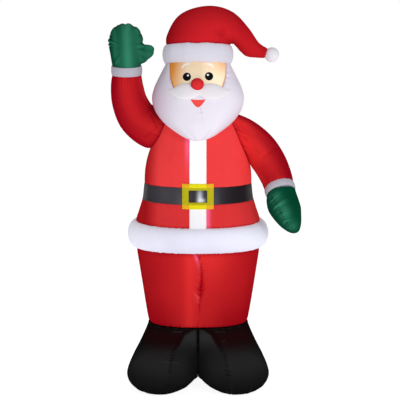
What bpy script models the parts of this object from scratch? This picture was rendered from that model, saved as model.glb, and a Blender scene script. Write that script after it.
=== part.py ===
"""An air-filled cloth Santa for the garden, 2.44 m tall, standing on its boots and waving.

Each chamber or sewn-on piece of cloth is one closed solid. Metres, +Z up, the figure faces -Y.
Chambers that are sewn edge to edge share one outline at the seam and stand SEAM apart.
Its own right hand is the raised one, at -X.
"""

import math

import bmesh
import bpy
from mathutils import Matrix, Vector

# Cloth and seams
SEAM = 0.0003
STRIP_THICKNESS = 0.004
STRIP_BITE = 0.002

# Heights of the chambers, from the ground up
BOOT_HEIGHT = 0.385
TROUSER_LENGTH = 0.520
HEM_HEIGHT = 0.165
SKIRT_LENGTH = 0.143
BELT_HEIGHT = 0.105
BELT_TO_SHOULDER = 0.353
CHEST_HEIGHT = 0.482
BEARD_DROP = 0.476
SHOULDER_TO_HAT = 0.409
BAND_HEIGHT = 0.115

# Girths of the body at its seams, as half widths
ANKLE_HALF_WIDTH = 0.331
HIP_HALF_WIDTH = 0.412
WAIST_LOW_HALF_WIDTH = 0.366
WAIST_HIGH_HALF_WIDTH = 0.352
HEM_BULGE = 0.053
CREASE_DEPTH = 0.035
CREASE_WIDTH = 0.030
BODY_SIDES = 36

# Boots
BOOT_SPREAD = 0.218
BOOT_ADVANCE = 0.122
BOOT_HALF_WIDTH = 0.242
BOOT_HALF_LENGTH = 0.296
BOOT_POWER = 2.3
TOE_OUT = 10
BOOT_SIDES = 28

# White front of the coat and the buckle
PLACKET_HALF_WIDTH = 0.052
PLACKET_STEP = 0.050
BUCKLE_WIDTH = 0.195
BUCKLE_HEIGHT = 0.155
BUCKLE_BAR = 0.041

# Head, face and hat
HEAD_HALF_WIDTH = 0.294
CROWN_HALF_WIDTH = 0.205
CROWN_DEPTH_SHARE = 0.96
HEAD_POWER = 2.15
FACE_TOP_HALF_WIDTH = 0.172
FACE_LOW_HALF_WIDTH = 0.112
FACE_DROP = 0.215
FACE_BACK = -0.060
FACE_RECESS = 0.010
BAND_BULGE = 0.021
NOSE_RADIUS = 0.040
NOSE_DROP = 0.131
MOUSTACHE_HALF_WIDTH = 0.193
POMPOM_RADIUS = 0.047

# Arms
CUFF_LENGTH = 0.056
CUFF_RADIUS = 0.093
CUFF_BULGE = 0.003
ARM_REACH = 0.450
ARM_SIDES = 20
MITTEN_LENGTH = 0.258

BOOT_TOP = BOOT_HEIGHT
HEM_BOTTOM = BOOT_TOP + TROUSER_LENGTH
HEM_TOP = HEM_BOTTOM + HEM_HEIGHT
BELT_BOTTOM = HEM_TOP + SKIRT_LENGTH
BELT_TOP = BELT_BOTTOM + BELT_HEIGHT
SHOULDER = BELT_TOP + BELT_TO_SHOULDER
COAT_TOP = BELT_TOP + CHEST_HEIGHT
BAND_BOTTOM = SHOULDER + SHOULDER_TO_HAT
BAND_TOP = BAND_BOTTOM + BAND_HEIGHT

# Depth of the body from the ankles up: (level, half depth as a share of the half width, squareness)
DEPTHS = (
    (BOOT_TOP, 0.58, 2.4),
    (HEM_BOTTOM, 0.73, 2.3),
    (HEM_TOP, 0.84, 2.1),
    (BELT_TOP, 0.86, 2.0),
    (COAT_TOP, 0.86, 2.0),
)

# Chest of the coat: (share of its height, half width as a share of the waist's)
CHEST = (
    (0.00, 1.000),
    (0.17, 0.986),
    (0.33, 0.946),
    (0.47, 0.884),
    (0.60, 0.815),
    (0.74, 0.735),
    (0.86, 0.630),
    (0.95, 0.450),
    (1.00, 0.240),
)

# Trousers: (share of their length, half width as a share of the way from ankle to hip)
TROUSERS = ((0.00, 0.00), (0.04, 0.07), (0.26, 0.30), (0.54, 0.56), (0.80, 0.80), (1.00, 1.00))

# Boot, from the trousers down: (share of its height, how far it has spread from a leg to a foot,
# share of the full foot's half width and half length)
BOOT_STATIONS = (
    (1.00, 0.00, 1.000, 1.000),
    (0.84, 0.14, 1.010, 1.000),
    (0.64, 0.44, 1.010, 1.000),
    (0.44, 0.78, 1.005, 1.000),
    (0.26, 1.01, 0.985, 1.000),
    (0.12, 1.04, 0.895, 0.955),
    (0.04, 1.05, 0.745, 0.850),
    (0.00, 1.05, 0.590, 0.700),
)

# Head and beard, from the hat down: (share of the beard's drop, half width as a share of the head's
# widest, front and back as shares of the same)
HEAD = (
    (0.000, 0.697, -0.669, 0.669),
    (0.098, 0.782, -0.760, 0.755),
    (0.206, 0.872, -0.840, 0.815),
    (0.312, 0.950, -0.925, 0.835),
    (0.448, 1.000, -1.010, 0.815),
    (0.584, 0.960, -1.075, 0.770),
    (0.690, 0.866, -1.110, 0.690),
    (0.794, 0.714, -1.125, 0.450),
    (0.894, 0.480, -1.110, -0.100),
    (0.966, 0.255, -1.075, -0.650),
    (1.000, 0.070, -1.030, -0.850),
)

# Hat, from the band to the tip: (offset across, offset up, half width, half depth) as shares of the
# crown's half width, and the section's turn in degrees
HAT = (
    (0.00, 0.00, 1.000, 0.960, 0.0),
    (0.03, 0.19, 0.995, 0.955, 8.4),
    (0.25, 0.50, 0.910, 0.880, 28.3),
    (0.72, 0.62, 0.705, 0.720, 54.3),
    (1.125, 0.49, 0.535, 0.540, 82.2),
    (1.44, 0.185, 0.390, 0.390, 105.8),
    (1.68, -0.09, 0.290, 0.290, 123.7),
    (1.90, -0.18, 0.210, 0.210, 117.0),
    (2.115, -0.23, 0.150, 0.150, 105.5),
)

# Arms from inside the shoulder to the wrist: (offset from the body's axis at the shoulder's level, radius),
# as shares of the arm's reach
RAISED_SLEEVE = (
    ((-0.389, 0.000, -0.111), 0.284),
    ((-0.644, -0.011, -0.018), 0.296),
    ((-0.796, -0.022, 0.080), 0.289),
    ((-0.898, -0.044, 0.191), 0.271),
    ((-0.973, -0.089, 0.378), 0.249),
    ((-1.000, -0.129, 0.569), 0.229),
    ((-0.998, -0.169, 0.751), 0.204),
)
HANGING_SLEEVE = (
    ((0.344, 0.000, 0.000), 0.267),
    ((0.571, 0.000, -0.073), 0.264),
    ((0.724, -0.040, -0.160), 0.262),
    ((0.882, -0.111, -0.298), 0.256),
    ((1.009, -0.213, -0.471), 0.240),
    ((1.091, -0.338, -0.649), 0.222),
    ((1.131, -0.449, -0.793), 0.209),
)

# Direction of each hand, and how far its fingertips bend aside from it as a share of its length
RAISED_HAND = ((0.010, -0.20, 0.98), (0.0, 0.0, 0.0))
HANGING_HAND = ((0.10, -0.36, -0.93), (0.21, 0.0, 0.0))
# Mitten: (share of its length, half width and half thickness as shares of the cuff's radius)
MITTEN = (
    (0.00, 0.99, 0.98),
    (0.22, 1.05, 1.07),
    (0.42, 1.13, 1.08),
    (0.60, 1.16, 0.93),
    (0.76, 1.06, 0.75),
    (0.89, 0.83, 0.52),
    (0.97, 0.52, 0.30),
    (1.00, 0.22, 0.12),
)
# Thumb: (offset across, offset up, half width, half thickness) as shares of the cuff's radius
THUMB = (
    (0.30, 0.80, 0.74, 0.60),
    (0.85, 0.78, 0.70, 0.55),
    (1.25, 0.82, 0.60, 0.46),
    (1.60, 0.95, 0.44, 0.33),
    (1.83, 1.01, 0.25, 0.18),
    (1.91, 1.03, 0.09, 0.06),
)

# Moustache, from the middle out: (place across, top, bottom, thickness) from the nose's centre, as shares
# of its half width
MOUSTACHE = (
    (0.00, -0.041, -0.373, 0.155),
    (0.22, -0.010, -0.487, 0.218),
    (0.41, 0.000, -0.518, 0.238),
    (0.57, -0.031, -0.497, 0.218),
    (0.74, -0.119, -0.420, 0.166),
    (0.90, -0.176, -0.301, 0.093),
    (1.00, -0.197, -0.228, 0.031),
)

COLOURS = {
    "red": (0.60, 0.012, 0.016),
    "white": (0.82, 0.80, 0.86),
    "black": (0.012, 0.012, 0.014),
    "green": (0.012, 0.130, 0.066),
    "yellow": (0.80, 0.66, 0.01),
    "skin": (0.86, 0.56, 0.28),
    "coral": (0.66, 0.02, 0.03),
}
CLOTH_ROUGHNESS = 0.55


def clear_scene():
    """Removes every object of the startup scene."""
    for obj in list(bpy.data.objects):
        bpy.data.objects.remove(obj, do_unlink=True)


def cloth(colour):
    """The finish of one colour of cloth, made once."""
    name = colour + "_cloth"
    if name in bpy.data.materials:
        return bpy.data.materials[name]
    made = bpy.data.materials.new(name)
    made.use_nodes = True
    shader = made.node_tree.nodes["Principled BSDF"]
    shader.inputs["Base Color"].default_value = (*COLOURS[colour], 1.0)
    shader.inputs["Roughness"].default_value = CLOTH_ROUGHNESS
    shader.inputs["Metallic"].default_value = 0.0
    return made


def collection(name, hidden=False):
    """A collection of this name, made once."""
    found = bpy.data.collections.get(name)
    if found is None:
        found = bpy.data.collections.new(name)
        bpy.context.scene.collection.children.link(found)
        found.hide_render = hidden
    return found


def between(rows, at):
    """The row at this value of its first number, on a smooth curve through all the rows."""
    index = 0
    while index < len(rows) - 2 and at > rows[index + 1][0]:
        index += 1
    first, last = rows[index], rows[index + 1]
    before = rows[max(index - 1, 0)]
    after = rows[min(index + 2, len(rows) - 1)]
    span = last[0] - first[0]
    t = min(max((at - first[0]) / span, 0.0), 1.0)
    out = [at]
    for i in range(1, len(first)):
        rise_in = (last[i] - before[i]) / (last[0] - before[0]) * span
        rise_out = (after[i] - first[i]) / (after[0] - first[0]) * span
        out.append(
            (2 * t**3 - 3 * t**2 + 1) * first[i]
            + (t**3 - 2 * t**2 + t) * rise_in
            + (3 * t**2 - 2 * t**3) * last[i]
            + (t**3 - t**2) * rise_out
        )
    return out


def smoothed(rows, steps):
    """The rows with steps rows to each span, on the smooth curve through them, counted by their order."""
    counted = [(float(i), *row) for i, row in enumerate(rows)]
    total = (len(rows) - 1) * steps
    return [between(counted, i / steps)[1:] for i in range(total + 1)]


def oval(half_width, front, back, sides, power=2.0):
    """Points round an oval in its own plane, seen from above, starting at +X; front is towards -Y."""
    points = []
    for i in range(sides):
        angle = 2 * math.pi * i / sides
        c, s = math.cos(angle), math.sin(angle)
        x = half_width * math.copysign(abs(c) ** (2 / power), c)
        y = (back if s > 0 else front) * math.copysign(abs(s) ** (2 / power), s)
        points.append((x, y))
    return points


def level_ring(level, half_width, front, back, sides, power=2.0):
    """An oval lying level; front and back are its furthest values of Y."""
    middle = (front + back) / 2
    reach = (back - front) / 2
    return [Vector((x, y + middle, level)) for x, y in oval(half_width, reach, reach, sides, power)]


def loft(name, rings, colour):
    """A closed solid through rings of equally many points, with a flat cap at each end."""
    mesh = bpy.data.meshes.new(name)
    shape = bmesh.new()
    loops = [[shape.verts.new(point) for point in ring] for ring in rings]
    count = len(loops[0])
    for low, high in zip(loops, loops[1:]):
        for i in range(count):
            j = (i + 1) % count
            shape.faces.new((low[i], low[j], high[j], high[i]))
    shape.faces.new(list(reversed(loops[0])))
    shape.faces.new(loops[-1])
    if shape.calc_volume(signed=True) < 0:
        bmesh.ops.reverse_faces(shape, faces=shape.faces)
    shape.to_mesh(mesh)
    shape.free()
    return finished(name, mesh, colour)


def finished(name, mesh, colour):
    """The named object of a mesh, in its cloth, smooth but for its sharp edges."""
    mesh.shade_smooth()
    mesh.set_sharp_from_angle(angle=math.radians(40))
    mesh.materials.clear()
    mesh.materials.append(cloth(colour))
    obj = bpy.data.objects.new(name, mesh)
    collection("santa").objects.link(obj)
    return obj


def as_cutter(obj):
    """Hides a helper from the render and keeps it out of the figure."""
    for home in list(obj.users_collection):
        home.objects.unlink(obj)
    collection("cutters", hidden=True).objects.link(obj)
    obj.hide_render = True
    obj.display_type = "WIRE"
    return obj


def boolean(obj, other, operation):
    """Adds a Boolean with another mesh to an object."""
    made = obj.modifiers.new(operation.lower() + "_" + other.name, "BOOLEAN")
    made.operation = operation
    made.solver = "EXACT"
    made.object = other


def grown(obj, by):
    """A hidden copy of an object as it now stands, with its surface moved out."""
    bpy.context.view_layer.update()
    graph = bpy.context.evaluated_depsgraph_get()
    mesh = bpy.data.meshes.new_from_object(obj.evaluated_get(graph))
    shape = bmesh.new()
    shape.from_mesh(mesh)
    bmesh.ops.remove_doubles(shape, verts=shape.verts, dist=SEAM / 10)
    shape.normal_update()
    moves = [(vert, vert.normal * by) for vert in shape.verts]
    for vert, move in moves:
        vert.co += move
    shape.to_mesh(mesh)
    shape.free()
    copy = bpy.data.objects.new(obj.name + "_room", mesh)
    collection("cutters", hidden=True).objects.link(copy)
    return as_cutter(copy)


def make_room(piece, *neighbours):
    """Cuts a piece back so that it meets its neighbours at a seam."""
    for neighbour in neighbours:
        boolean(piece, grown(neighbour, SEAM * 1.5), "DIFFERENCE")


def body_half_width(level):
    """Half the body's width at a level between the ankles and the top of the coat."""
    if level <= HEM_BOTTOM:
        share = between(TROUSERS, (level - BOOT_TOP) / TROUSER_LENGTH)[1]
        return ANKLE_HALF_WIDTH + (HIP_HALF_WIDTH - ANKLE_HALF_WIDTH) * share
    if level <= HEM_TOP:
        return HIP_HALF_WIDTH
    if level <= BELT_TOP:
        seams = (
            (HEM_TOP, HIP_HALF_WIDTH),
            (BELT_BOTTOM, WAIST_LOW_HALF_WIDTH),
            (BELT_TOP, WAIST_HIGH_HALF_WIDTH),
        )
        return between(seams, level)[1]
    return WAIST_HIGH_HALF_WIDTH * between(CHEST, (level - BELT_TOP) / CHEST_HEIGHT)[1]


def body_ring(level, extra=0.0):
    """The body's outline at a level, with its surface moved out by extra."""
    half_width = body_half_width(level)
    _, depth_share, power = between(DEPTHS, level)
    depth = half_width * depth_share + extra
    return level_ring(level, half_width + extra, -depth, depth, BODY_SIDES, power)


def body_front(x, level, extra=0.0):
    """How far forward the body's surface is, at a place across it and a level."""
    half_width = body_half_width(level)
    _, depth_share, power = between(DEPTHS, level)
    across = min(abs(x) / (half_width + extra), 1.0)
    return -(half_width * depth_share + extra) * (1 - across**power) ** (1 / power)


def levels(low, high, count):
    """Levels from low to high, both a half seam inside."""
    low, high = low + SEAM / 2, high - SEAM / 2
    return [low + (high - low) * i / count for i in range(count + 1)]


def boot(name, side):
    """A boot on one side of the figure: half a leg's oval at the top, a turned-out foot below."""
    ankle_depth = ANKLE_HALF_WIDTH * DEPTHS[0][1]
    rings = []
    for share, spread, wide, long in BOOT_STATIONS:
        spread_in = min(spread, 1.0)
        half_width = ANKLE_HALF_WIDTH + (BOOT_HALF_WIDTH - ANKLE_HALF_WIDTH) * spread_in
        half_length = ankle_depth + (BOOT_HALF_LENGTH - ankle_depth) * spread_in
        power = DEPTHS[0][2] + (BOOT_POWER - DEPTHS[0][2]) * spread_in
        turn = Matrix.Rotation(math.radians(TOE_OUT * spread_in), 3, "Z")
        centre = Vector((BOOT_SPREAD * spread, -BOOT_ADVANCE * spread, 0))
        ring = []
        for x, y in oval(half_width * wide, half_length * long, half_length * long, BOOT_SIDES, power):
            point = turn @ Vector((x, y, 0)) + centre
            point.z = BOOT_HEIGHT * share - (SEAM / 2 if share == 1.0 else 0.0)
            point.x = max(point.x, SEAM / 2) * side
            ring.append(point)
        rings.append(ring)
    return loft(name, rings, "black")


def trousers():
    """The trousers, one chamber with a crease down the front and the back where the legs meet."""
    rings = []
    for level in levels(BOOT_TOP, HEM_BOTTOM, 6):
        ring = body_ring(level)
        share = (level - BOOT_TOP) / TROUSER_LENGTH
        for point in ring:
            fold = math.exp(-((point.x / CREASE_WIDTH) ** 2)) * math.sin(math.pi * share)
            point.y *= 1 - CREASE_DEPTH * fold / abs(body_front(0.0, level))
        rings.append(ring)
    return loft("trousers", rings, "red")


def bulged(name, low, high, bulge, count, colour):
    """A chamber of the body between two seams, whose side swells out by bulge."""
    rings = []
    for level in levels(low, high, count):
        share = (level - low) / (high - low)
        rings.append(body_ring(level, bulge * math.sqrt(max(1 - (2 * share - 1) ** 2, 0.0))))
    return loft(name, rings, colour)


def coat_body():
    """The coat from the belt to the dome that the head stands on."""
    rings = [body_ring(BELT_TOP + SEAM / 2)]
    rings += [body_ring(BELT_TOP + CHEST_HEIGHT * share) for share, _ in CHEST[1:]]
    return loft("coat_body", rings, "red")


def front_plate(name, colour, xs, zs, inner, outer, keep=lambda x, z: True):
    """A strip of cloth on the front of the body, over the cells of a grid that are kept."""
    mesh = bpy.data.meshes.new(name)
    shape = bmesh.new()
    grid = [[shape.verts.new((x, body_front(x, z, inner), z)) for x in xs] for z in zs]
    for row in range(len(zs) - 1):
        for column in range(len(xs) - 1):
            middle_x = (xs[column] + xs[column + 1]) / 2
            middle_z = (zs[row] + zs[row + 1]) / 2
            if keep(middle_x, middle_z):
                low, high = grid[row], grid[row + 1]
                shape.faces.new((low[column], low[column + 1], high[column + 1], high[column]))
    loose = [vert for vert in shape.verts if not vert.link_faces]
    bmesh.ops.delete(shape, geom=loose, context="VERTS")
    shape.to_mesh(mesh)
    shape.free()
    plate = finished(name, mesh, colour)
    thicken = plate.modifiers.new("thickness", "SOLIDIFY")
    thicken.thickness = outer - inner
    thicken.offset = 1.0
    return plate


def evenly(low, high, count):
    """count + 1 values from low to high."""
    return [low + (high - low) * i / count for i in range(count + 1)]


def placket(name, low, high, *neighbours):
    """A length of the white strip down the front of the coat."""
    xs = evenly(-PLACKET_HALF_WIDTH, PLACKET_HALF_WIDTH, 4)
    rows = max(2, round((high - low) / PLACKET_STEP))
    zs = evenly(low + SEAM, high - STRIP_BITE, rows)
    strip = front_plate(name, "white", xs, zs, -STRIP_BITE, STRIP_THICKNESS)
    make_room(strip, *neighbours)
    return strip


def buckle():
    """The square frame sewn over the belt, standing on the white strip above and below it."""
    middle = (BELT_BOTTOM + BELT_TOP) / 2
    half_width, half_height = BUCKLE_WIDTH / 2, BUCKLE_HEIGHT / 2
    window_x, window_z = half_width - BUCKLE_BAR, half_height - BUCKLE_BAR
    xs = [-half_width, *evenly(-window_x, window_x, 4), half_width]
    zs = [middle - half_height, *evenly(middle - window_z, middle + window_z, 2), middle + half_height]
    inner = STRIP_THICKNESS + SEAM * 3

    def on_frame(x, z):
        return abs(x) > window_x or abs(z - middle) > window_z

    return front_plate("buckle", "yellow", xs, zs, inner, inner + STRIP_THICKNESS, on_frame)


def head_row(level):
    """(half width, front, back) of the head and beard at a level, in metres."""
    row = between(HEAD, (BAND_BOTTOM - level) / BEARD_DROP)
    return [value * HEAD_HALF_WIDTH for value in row[1:]]


def head_front(x, level, extra=0.0):
    """How far forward the head's surface is, at a place across it and a level."""
    half_width, front, back = head_row(level)
    middle, reach = (front + back) / 2, (back - front) / 2 + extra
    share = min(abs(x) / (half_width + extra), 1.0)
    return middle - reach * (1 - share**HEAD_POWER) ** (1 / HEAD_POWER)


def beard_and_hair(coat):
    """The white shell of the head: hair at the back, beard in front, with a pocket for the face."""
    rings = []
    for share, *_ in HEAD:
        level = BAND_BOTTOM - BEARD_DROP * share - (SEAM / 2 if share == 0 else 0.0)
        half_width, front, back = head_row(level)
        rings.append(level_ring(level, half_width, front, back, 36, HEAD_POWER))
    head = loft("beard_and_hair", rings, "white")
    make_room(head, coat)
    rings = []
    rows = face_rows()
    room = [(rows[0][0] - SEAM, rows[0][1]), *rows, (rows[-1][0] + BAND_HEIGHT, rows[-1][1])]
    for level, half_width in room:
        wide = half_width + SEAM
        corners = ((-wide, FACE_BACK + SEAM), (-wide, -HEAD_HALF_WIDTH * 3), (wide, -HEAD_HALF_WIDTH * 3), (wide, FACE_BACK + SEAM))
        rings.append([Vector((x, y, level)) for x, y in corners])
    pocket = as_cutter(loft("face_pocket", rings, "skin"))
    boolean(head, pocket, "DIFFERENCE")
    return head


def face_rows():
    """(level, half width) of the face panel, from under the moustache to the hat."""
    rows = []
    for share in (0.0, 0.3, 0.62, 1.0):
        half_width = FACE_LOW_HALF_WIDTH + (FACE_TOP_HALF_WIDTH - FACE_LOW_HALF_WIDTH) * share**0.8
        rows.append((BAND_BOTTOM - FACE_DROP * (1 - share) - SEAM / 2, half_width))
    return rows


def face():
    """The face panel, let into the white shell and a little behind its edge."""
    rings = []
    for level, half_width in face_rows():
        front = [
            Vector((x, head_front(x, level, -FACE_RECESS), level))
            for x in evenly(-half_width, half_width, 12)
        ]
        rings.append([*front, Vector((half_width, FACE_BACK, level)), Vector((-half_width, FACE_BACK, level))])
    return loft("face", rings, "skin")


def hat_band():
    """The white roll round the foot of the hat."""
    rings = []
    for level in levels(BAND_BOTTOM, BAND_TOP, 6):
        share = (level - BAND_BOTTOM) / BAND_HEIGHT
        wide = CROWN_HALF_WIDTH + BAND_BULGE * max(1 - (2 * share - 1) ** 2, 0.0) ** 0.6
        deep = wide * CROWN_DEPTH_SHARE
        rings.append(level_ring(level, wide, -deep, deep, 36))
    return loft("hat_band", rings, "white")


def hat():
    """The soft hat, whose top falls over to the figure's left."""
    rings = []
    for across, up, wide, deep, turn in smoothed(HAT, 2):
        tilt = Matrix.Rotation(math.radians(turn), 3, "Y")
        centre = Vector((across, 0, up)) * CROWN_HALF_WIDTH + Vector((0, 0, BAND_TOP + SEAM / 2))
        flat = oval(wide * CROWN_HALF_WIDTH, deep * CROWN_HALF_WIDTH, deep * CROWN_HALF_WIDTH, 24)
        rings.append([tilt @ Vector((x, y, 0)) + centre for x, y in flat])
    return loft("hat", rings, "red")


def pompom(hat_solid):
    """The ball at the hat's tip."""
    across, up, _, _, turn = HAT[-1]
    tilt = Matrix.Rotation(math.radians(turn), 3, "Y")
    tip = Vector((across, 0, up)) * CROWN_HALF_WIDTH + Vector((0, 0, BAND_TOP))
    centre = tip + tilt @ Vector((0, 0, POMPOM_RADIUS * 0.85))
    ball = sphere("pompom", centre, (POMPOM_RADIUS,) * 3, 16, 10, "white")
    make_room(ball, hat_solid)
    return ball


def sphere(name, centre, radii, segments, rings, colour):
    """A ball, or one drawn out along its axes."""
    mesh = bpy.data.meshes.new(name)
    shape = bmesh.new()
    bmesh.ops.create_uvsphere(shape, u_segments=segments, v_segments=rings, radius=1.0)
    bmesh.ops.scale(shape, vec=radii, verts=shape.verts)
    bmesh.ops.translate(shape, vec=centre, verts=shape.verts)
    shape.to_mesh(mesh)
    shape.free()
    return finished(name, mesh, colour)


def nose(face_solid):
    """The ball of the nose, set into the face."""
    level = BAND_BOTTOM - NOSE_DROP
    centre = Vector((0, head_front(0, level) - NOSE_RADIUS * 0.45, level))
    ball = sphere("nose", centre, (NOSE_RADIUS, NOSE_RADIUS * 0.9, NOSE_RADIUS * 0.95), 16, 10, "coral")
    make_room(ball, face_solid)
    return ball


def moustache(*neighbours):
    """The two-lobed moustache, a flat cushion that lies on the face and the beard."""
    nose_level = BAND_BOTTOM - NOSE_DROP
    half = smoothed(MOUSTACHE, 1)
    both = [(-x, *rest) for x, *rest in reversed(half[1:])] + half
    rings = []
    for share, top, bottom, thickness in both:
        x = share * MOUSTACHE_HALF_WIDTH
        middle = nose_level + MOUSTACHE_HALF_WIDTH * (top + bottom) / 2
        reach = MOUSTACHE_HALF_WIDTH * (top - bottom) / 2
        ring = []
        for i in range(10):
            angle = 2 * math.pi * i / 10
            level = middle + reach * math.cos(angle)
            out = MOUSTACHE_HALF_WIDTH * thickness * (math.sin(angle) / 2 + 0.25)
            ring.append(Vector((x, head_front(x, level, out), level)))
        rings.append(ring)
    made = loft("moustache", rings, "white")
    make_room(made, *neighbours)
    return made


def arm_line(stations):
    """(place, direction, radius) down an arm, on a smooth line through its stations."""
    rows = smoothed([(*offset, radius) for offset, radius in stations], 2)
    places = [Vector(row[:3]) * ARM_REACH + Vector((0, 0, SHOULDER)) for row in rows]
    line = []
    for i, (place, row) in enumerate(zip(places, rows)):
        along = places[min(i + 1, len(rows) - 1)] - places[max(i - 1, 0)]
        line.append((place, along.normalized(), row[3] * ARM_REACH))
    return line


def round_ring(centre, along, half_width, half_depth, sides=ARM_SIDES):
    """An oval square to a direction, its depth kept as near to the Y axis as it can be."""
    across = Vector((0, 1, 0)).cross(along).normalized()
    fore = along.cross(across).normalized()
    ring = []
    for i in range(sides):
        angle = 2 * math.pi * i / sides
        ring.append(centre + across * half_width * math.cos(angle) + fore * half_depth * math.sin(angle))
    return ring


def sleeve(name, stations, *neighbours):
    """A sleeve from the armhole to the cuff, cut back to the body that it is sewn to."""
    rings = [round_ring(place, along, radius, radius) for place, along, radius in arm_line(stations)]
    made = loft(name, rings, "red")
    make_room(made, *neighbours)
    return made


def cuff(name, stations):
    """The white band between a sleeve and its mitten."""
    place, along, _ = arm_line(stations)[-1]
    rings = []
    for share, swell in ((0.0, 0.0), (0.2, 0.6), (0.5, 1.0), (0.8, 0.6), (1.0, 0.0)):
        radius = CUFF_RADIUS + CUFF_BULGE * swell
        centre = place + along * (SEAM + CUFF_LENGTH * share)
        rings.append(round_ring(centre, along, radius, radius))
    return loft(name, rings, "white")


def mitten(name, stations, hand, roll, *neighbours):
    """A mitten: a palm with its fingers together and a thumb, rolled about itself by roll degrees."""
    place, arm, _ = arm_line(stations)[-1]
    along, bend = Vector(hand[0]).normalized(), Vector(hand[1])
    across = Matrix.Rotation(math.radians(roll), 3, along) @ Vector((0, 1, 0)).cross(along).normalized()
    fore = along.cross(across).normalized()
    base = place + arm * (CUFF_LENGTH + 2 * SEAM)

    def section(centre, wide_axis, wide, deep, sides):
        ring = []
        for i in range(sides):
            angle = 2 * math.pi * i / sides
            point = wide_axis * wide * math.cos(angle) + fore * deep * math.sin(angle)
            ring.append(centre + point * CUFF_RADIUS)
        return ring

    wrist_ring = round_ring(base, arm, CUFF_RADIUS * MITTEN[0][1], CUFF_RADIUS * MITTEN[0][2])
    palm_rings = []
    for up, wide, deep in MITTEN:
        centre = base + (along * up + bend * up**2) * MITTEN_LENGTH
        palm_rings.append(section(centre, across, wide, deep, ARM_SIDES))
    palm_rings[0] = turned_to_match(wrist_ring, palm_rings[0])
    thumb_rings = []
    for out, up, wide, deep in THUMB:
        centre = base + (across * out + along * up) * CUFF_RADIUS
        thumb_rings.append(section(centre, along, wide, deep, 12))
    palm = loft(name, palm_rings, "green")
    boolean(palm, as_cutter(loft(name + "_thumb", thumb_rings, "green")), "UNION")
    make_room(palm, *neighbours)
    return palm


def turned_to_match(ring, other):
    """The ring's points, started and run so that they lie nearest the other ring's."""
    count = len(ring)
    orders = [[(start + step * i) % count for i in range(count)] for start in range(count) for step in (1, -1)]
    best = min(orders, key=lambda order: sum((ring[j] - point).length for j, point in zip(order, other)))
    return [ring[j] for j in best]


def stand_on_origin():
    """Moves the figure so that the origin is under the middle of its bounding box."""
    bpy.context.view_layer.update()
    graph = bpy.context.evaluated_depsgraph_get()
    figure = list(collection("santa").objects)
    corners = []
    for obj in figure:
        mesh = obj.evaluated_get(graph).to_mesh()
        corners += [vert.co.copy() for vert in mesh.vertices]
        obj.evaluated_get(graph).to_mesh_clear()
    low = Vector([min(corner[i] for corner in corners) for i in range(3)])
    high = Vector([max(corner[i] for corner in corners) for i in range(3)])
    shift = Vector((-(low.x + high.x) / 2, -(low.y + high.y) / 2, -low.z))
    stand = bpy.data.objects.new("stand", None)
    collection("santa").objects.link(stand)
    for obj in figure + list(collection("cutters").objects):
        obj.parent = stand
    stand.location = shift


def main():
    clear_scene()
    boot("right_boot", -1)
    boot("left_boot", 1)
    trousers()
    bulged("coat_hem", HEM_BOTTOM, HEM_TOP, HEM_BULGE, 6, "white")
    skirt = bulged("coat_skirt", HEM_TOP, BELT_BOTTOM, 0.0, 3, "red")
    bulged("belt", BELT_BOTTOM, BELT_TOP, 0.0, 2, "black")
    coat = coat_body()
    head = beard_and_hair(coat)
    face_panel = face()
    nose_ball = nose(face_panel)
    moustache(head, face_panel, nose_ball)
    placket("placket_low", HEM_TOP, BELT_BOTTOM, skirt)
    placket("placket_high", BELT_TOP, BAND_BOTTOM - BEARD_DROP * 0.9, coat, head)
    buckle()
    hat_band()
    pompom(hat())
    sleeve("right_sleeve", RAISED_SLEEVE, coat, head)
    sleeve("left_sleeve", HANGING_SLEEVE, coat, head)
    raised_cuff = cuff("right_cuff", RAISED_SLEEVE)
    hanging_cuff = cuff("left_cuff", HANGING_SLEEVE)
    mitten("right_mitten", RAISED_SLEEVE, RAISED_HAND, 0, raised_cuff)
    mitten("left_mitten", HANGING_SLEEVE, HANGING_HAND, 90, hanging_cuff)
    stand_on_origin()


main()
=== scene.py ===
"""The looks of an air-filled cloth Santa for the garden, made round its solid parts."""

import math

import bmesh
import bpy
import numpy as np
from mathutils import Matrix, Vector


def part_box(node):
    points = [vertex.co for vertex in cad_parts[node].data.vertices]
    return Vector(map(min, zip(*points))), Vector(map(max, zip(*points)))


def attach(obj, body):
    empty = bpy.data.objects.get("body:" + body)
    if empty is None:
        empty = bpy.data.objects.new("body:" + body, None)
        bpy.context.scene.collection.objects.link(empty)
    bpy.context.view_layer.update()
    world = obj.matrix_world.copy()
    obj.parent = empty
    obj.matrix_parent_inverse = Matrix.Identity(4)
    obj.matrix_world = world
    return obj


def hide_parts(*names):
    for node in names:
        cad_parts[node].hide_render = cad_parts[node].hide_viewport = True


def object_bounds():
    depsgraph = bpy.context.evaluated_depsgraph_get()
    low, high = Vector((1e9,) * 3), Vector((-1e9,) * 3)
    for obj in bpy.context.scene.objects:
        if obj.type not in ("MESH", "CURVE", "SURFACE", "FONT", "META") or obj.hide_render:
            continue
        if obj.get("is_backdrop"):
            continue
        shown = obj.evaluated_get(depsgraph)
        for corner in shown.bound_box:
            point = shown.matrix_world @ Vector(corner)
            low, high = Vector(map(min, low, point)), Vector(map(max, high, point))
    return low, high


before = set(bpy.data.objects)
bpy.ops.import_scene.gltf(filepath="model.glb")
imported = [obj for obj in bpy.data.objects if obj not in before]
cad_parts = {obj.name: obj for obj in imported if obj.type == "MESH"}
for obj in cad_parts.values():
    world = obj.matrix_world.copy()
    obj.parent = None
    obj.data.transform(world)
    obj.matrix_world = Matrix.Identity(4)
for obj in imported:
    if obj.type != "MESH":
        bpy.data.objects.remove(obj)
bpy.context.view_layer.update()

# ---------------------------------------------------------------------------------------------
# Trousers. One air chamber of red polyester taffeta from the boots to the coat's hem. A seam
# down the front and the back draws it in where the legs meet, and gathers the cloth into folds.
# ---------------------------------------------------------------------------------------------
belt_low, belt_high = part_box("belt")
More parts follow.
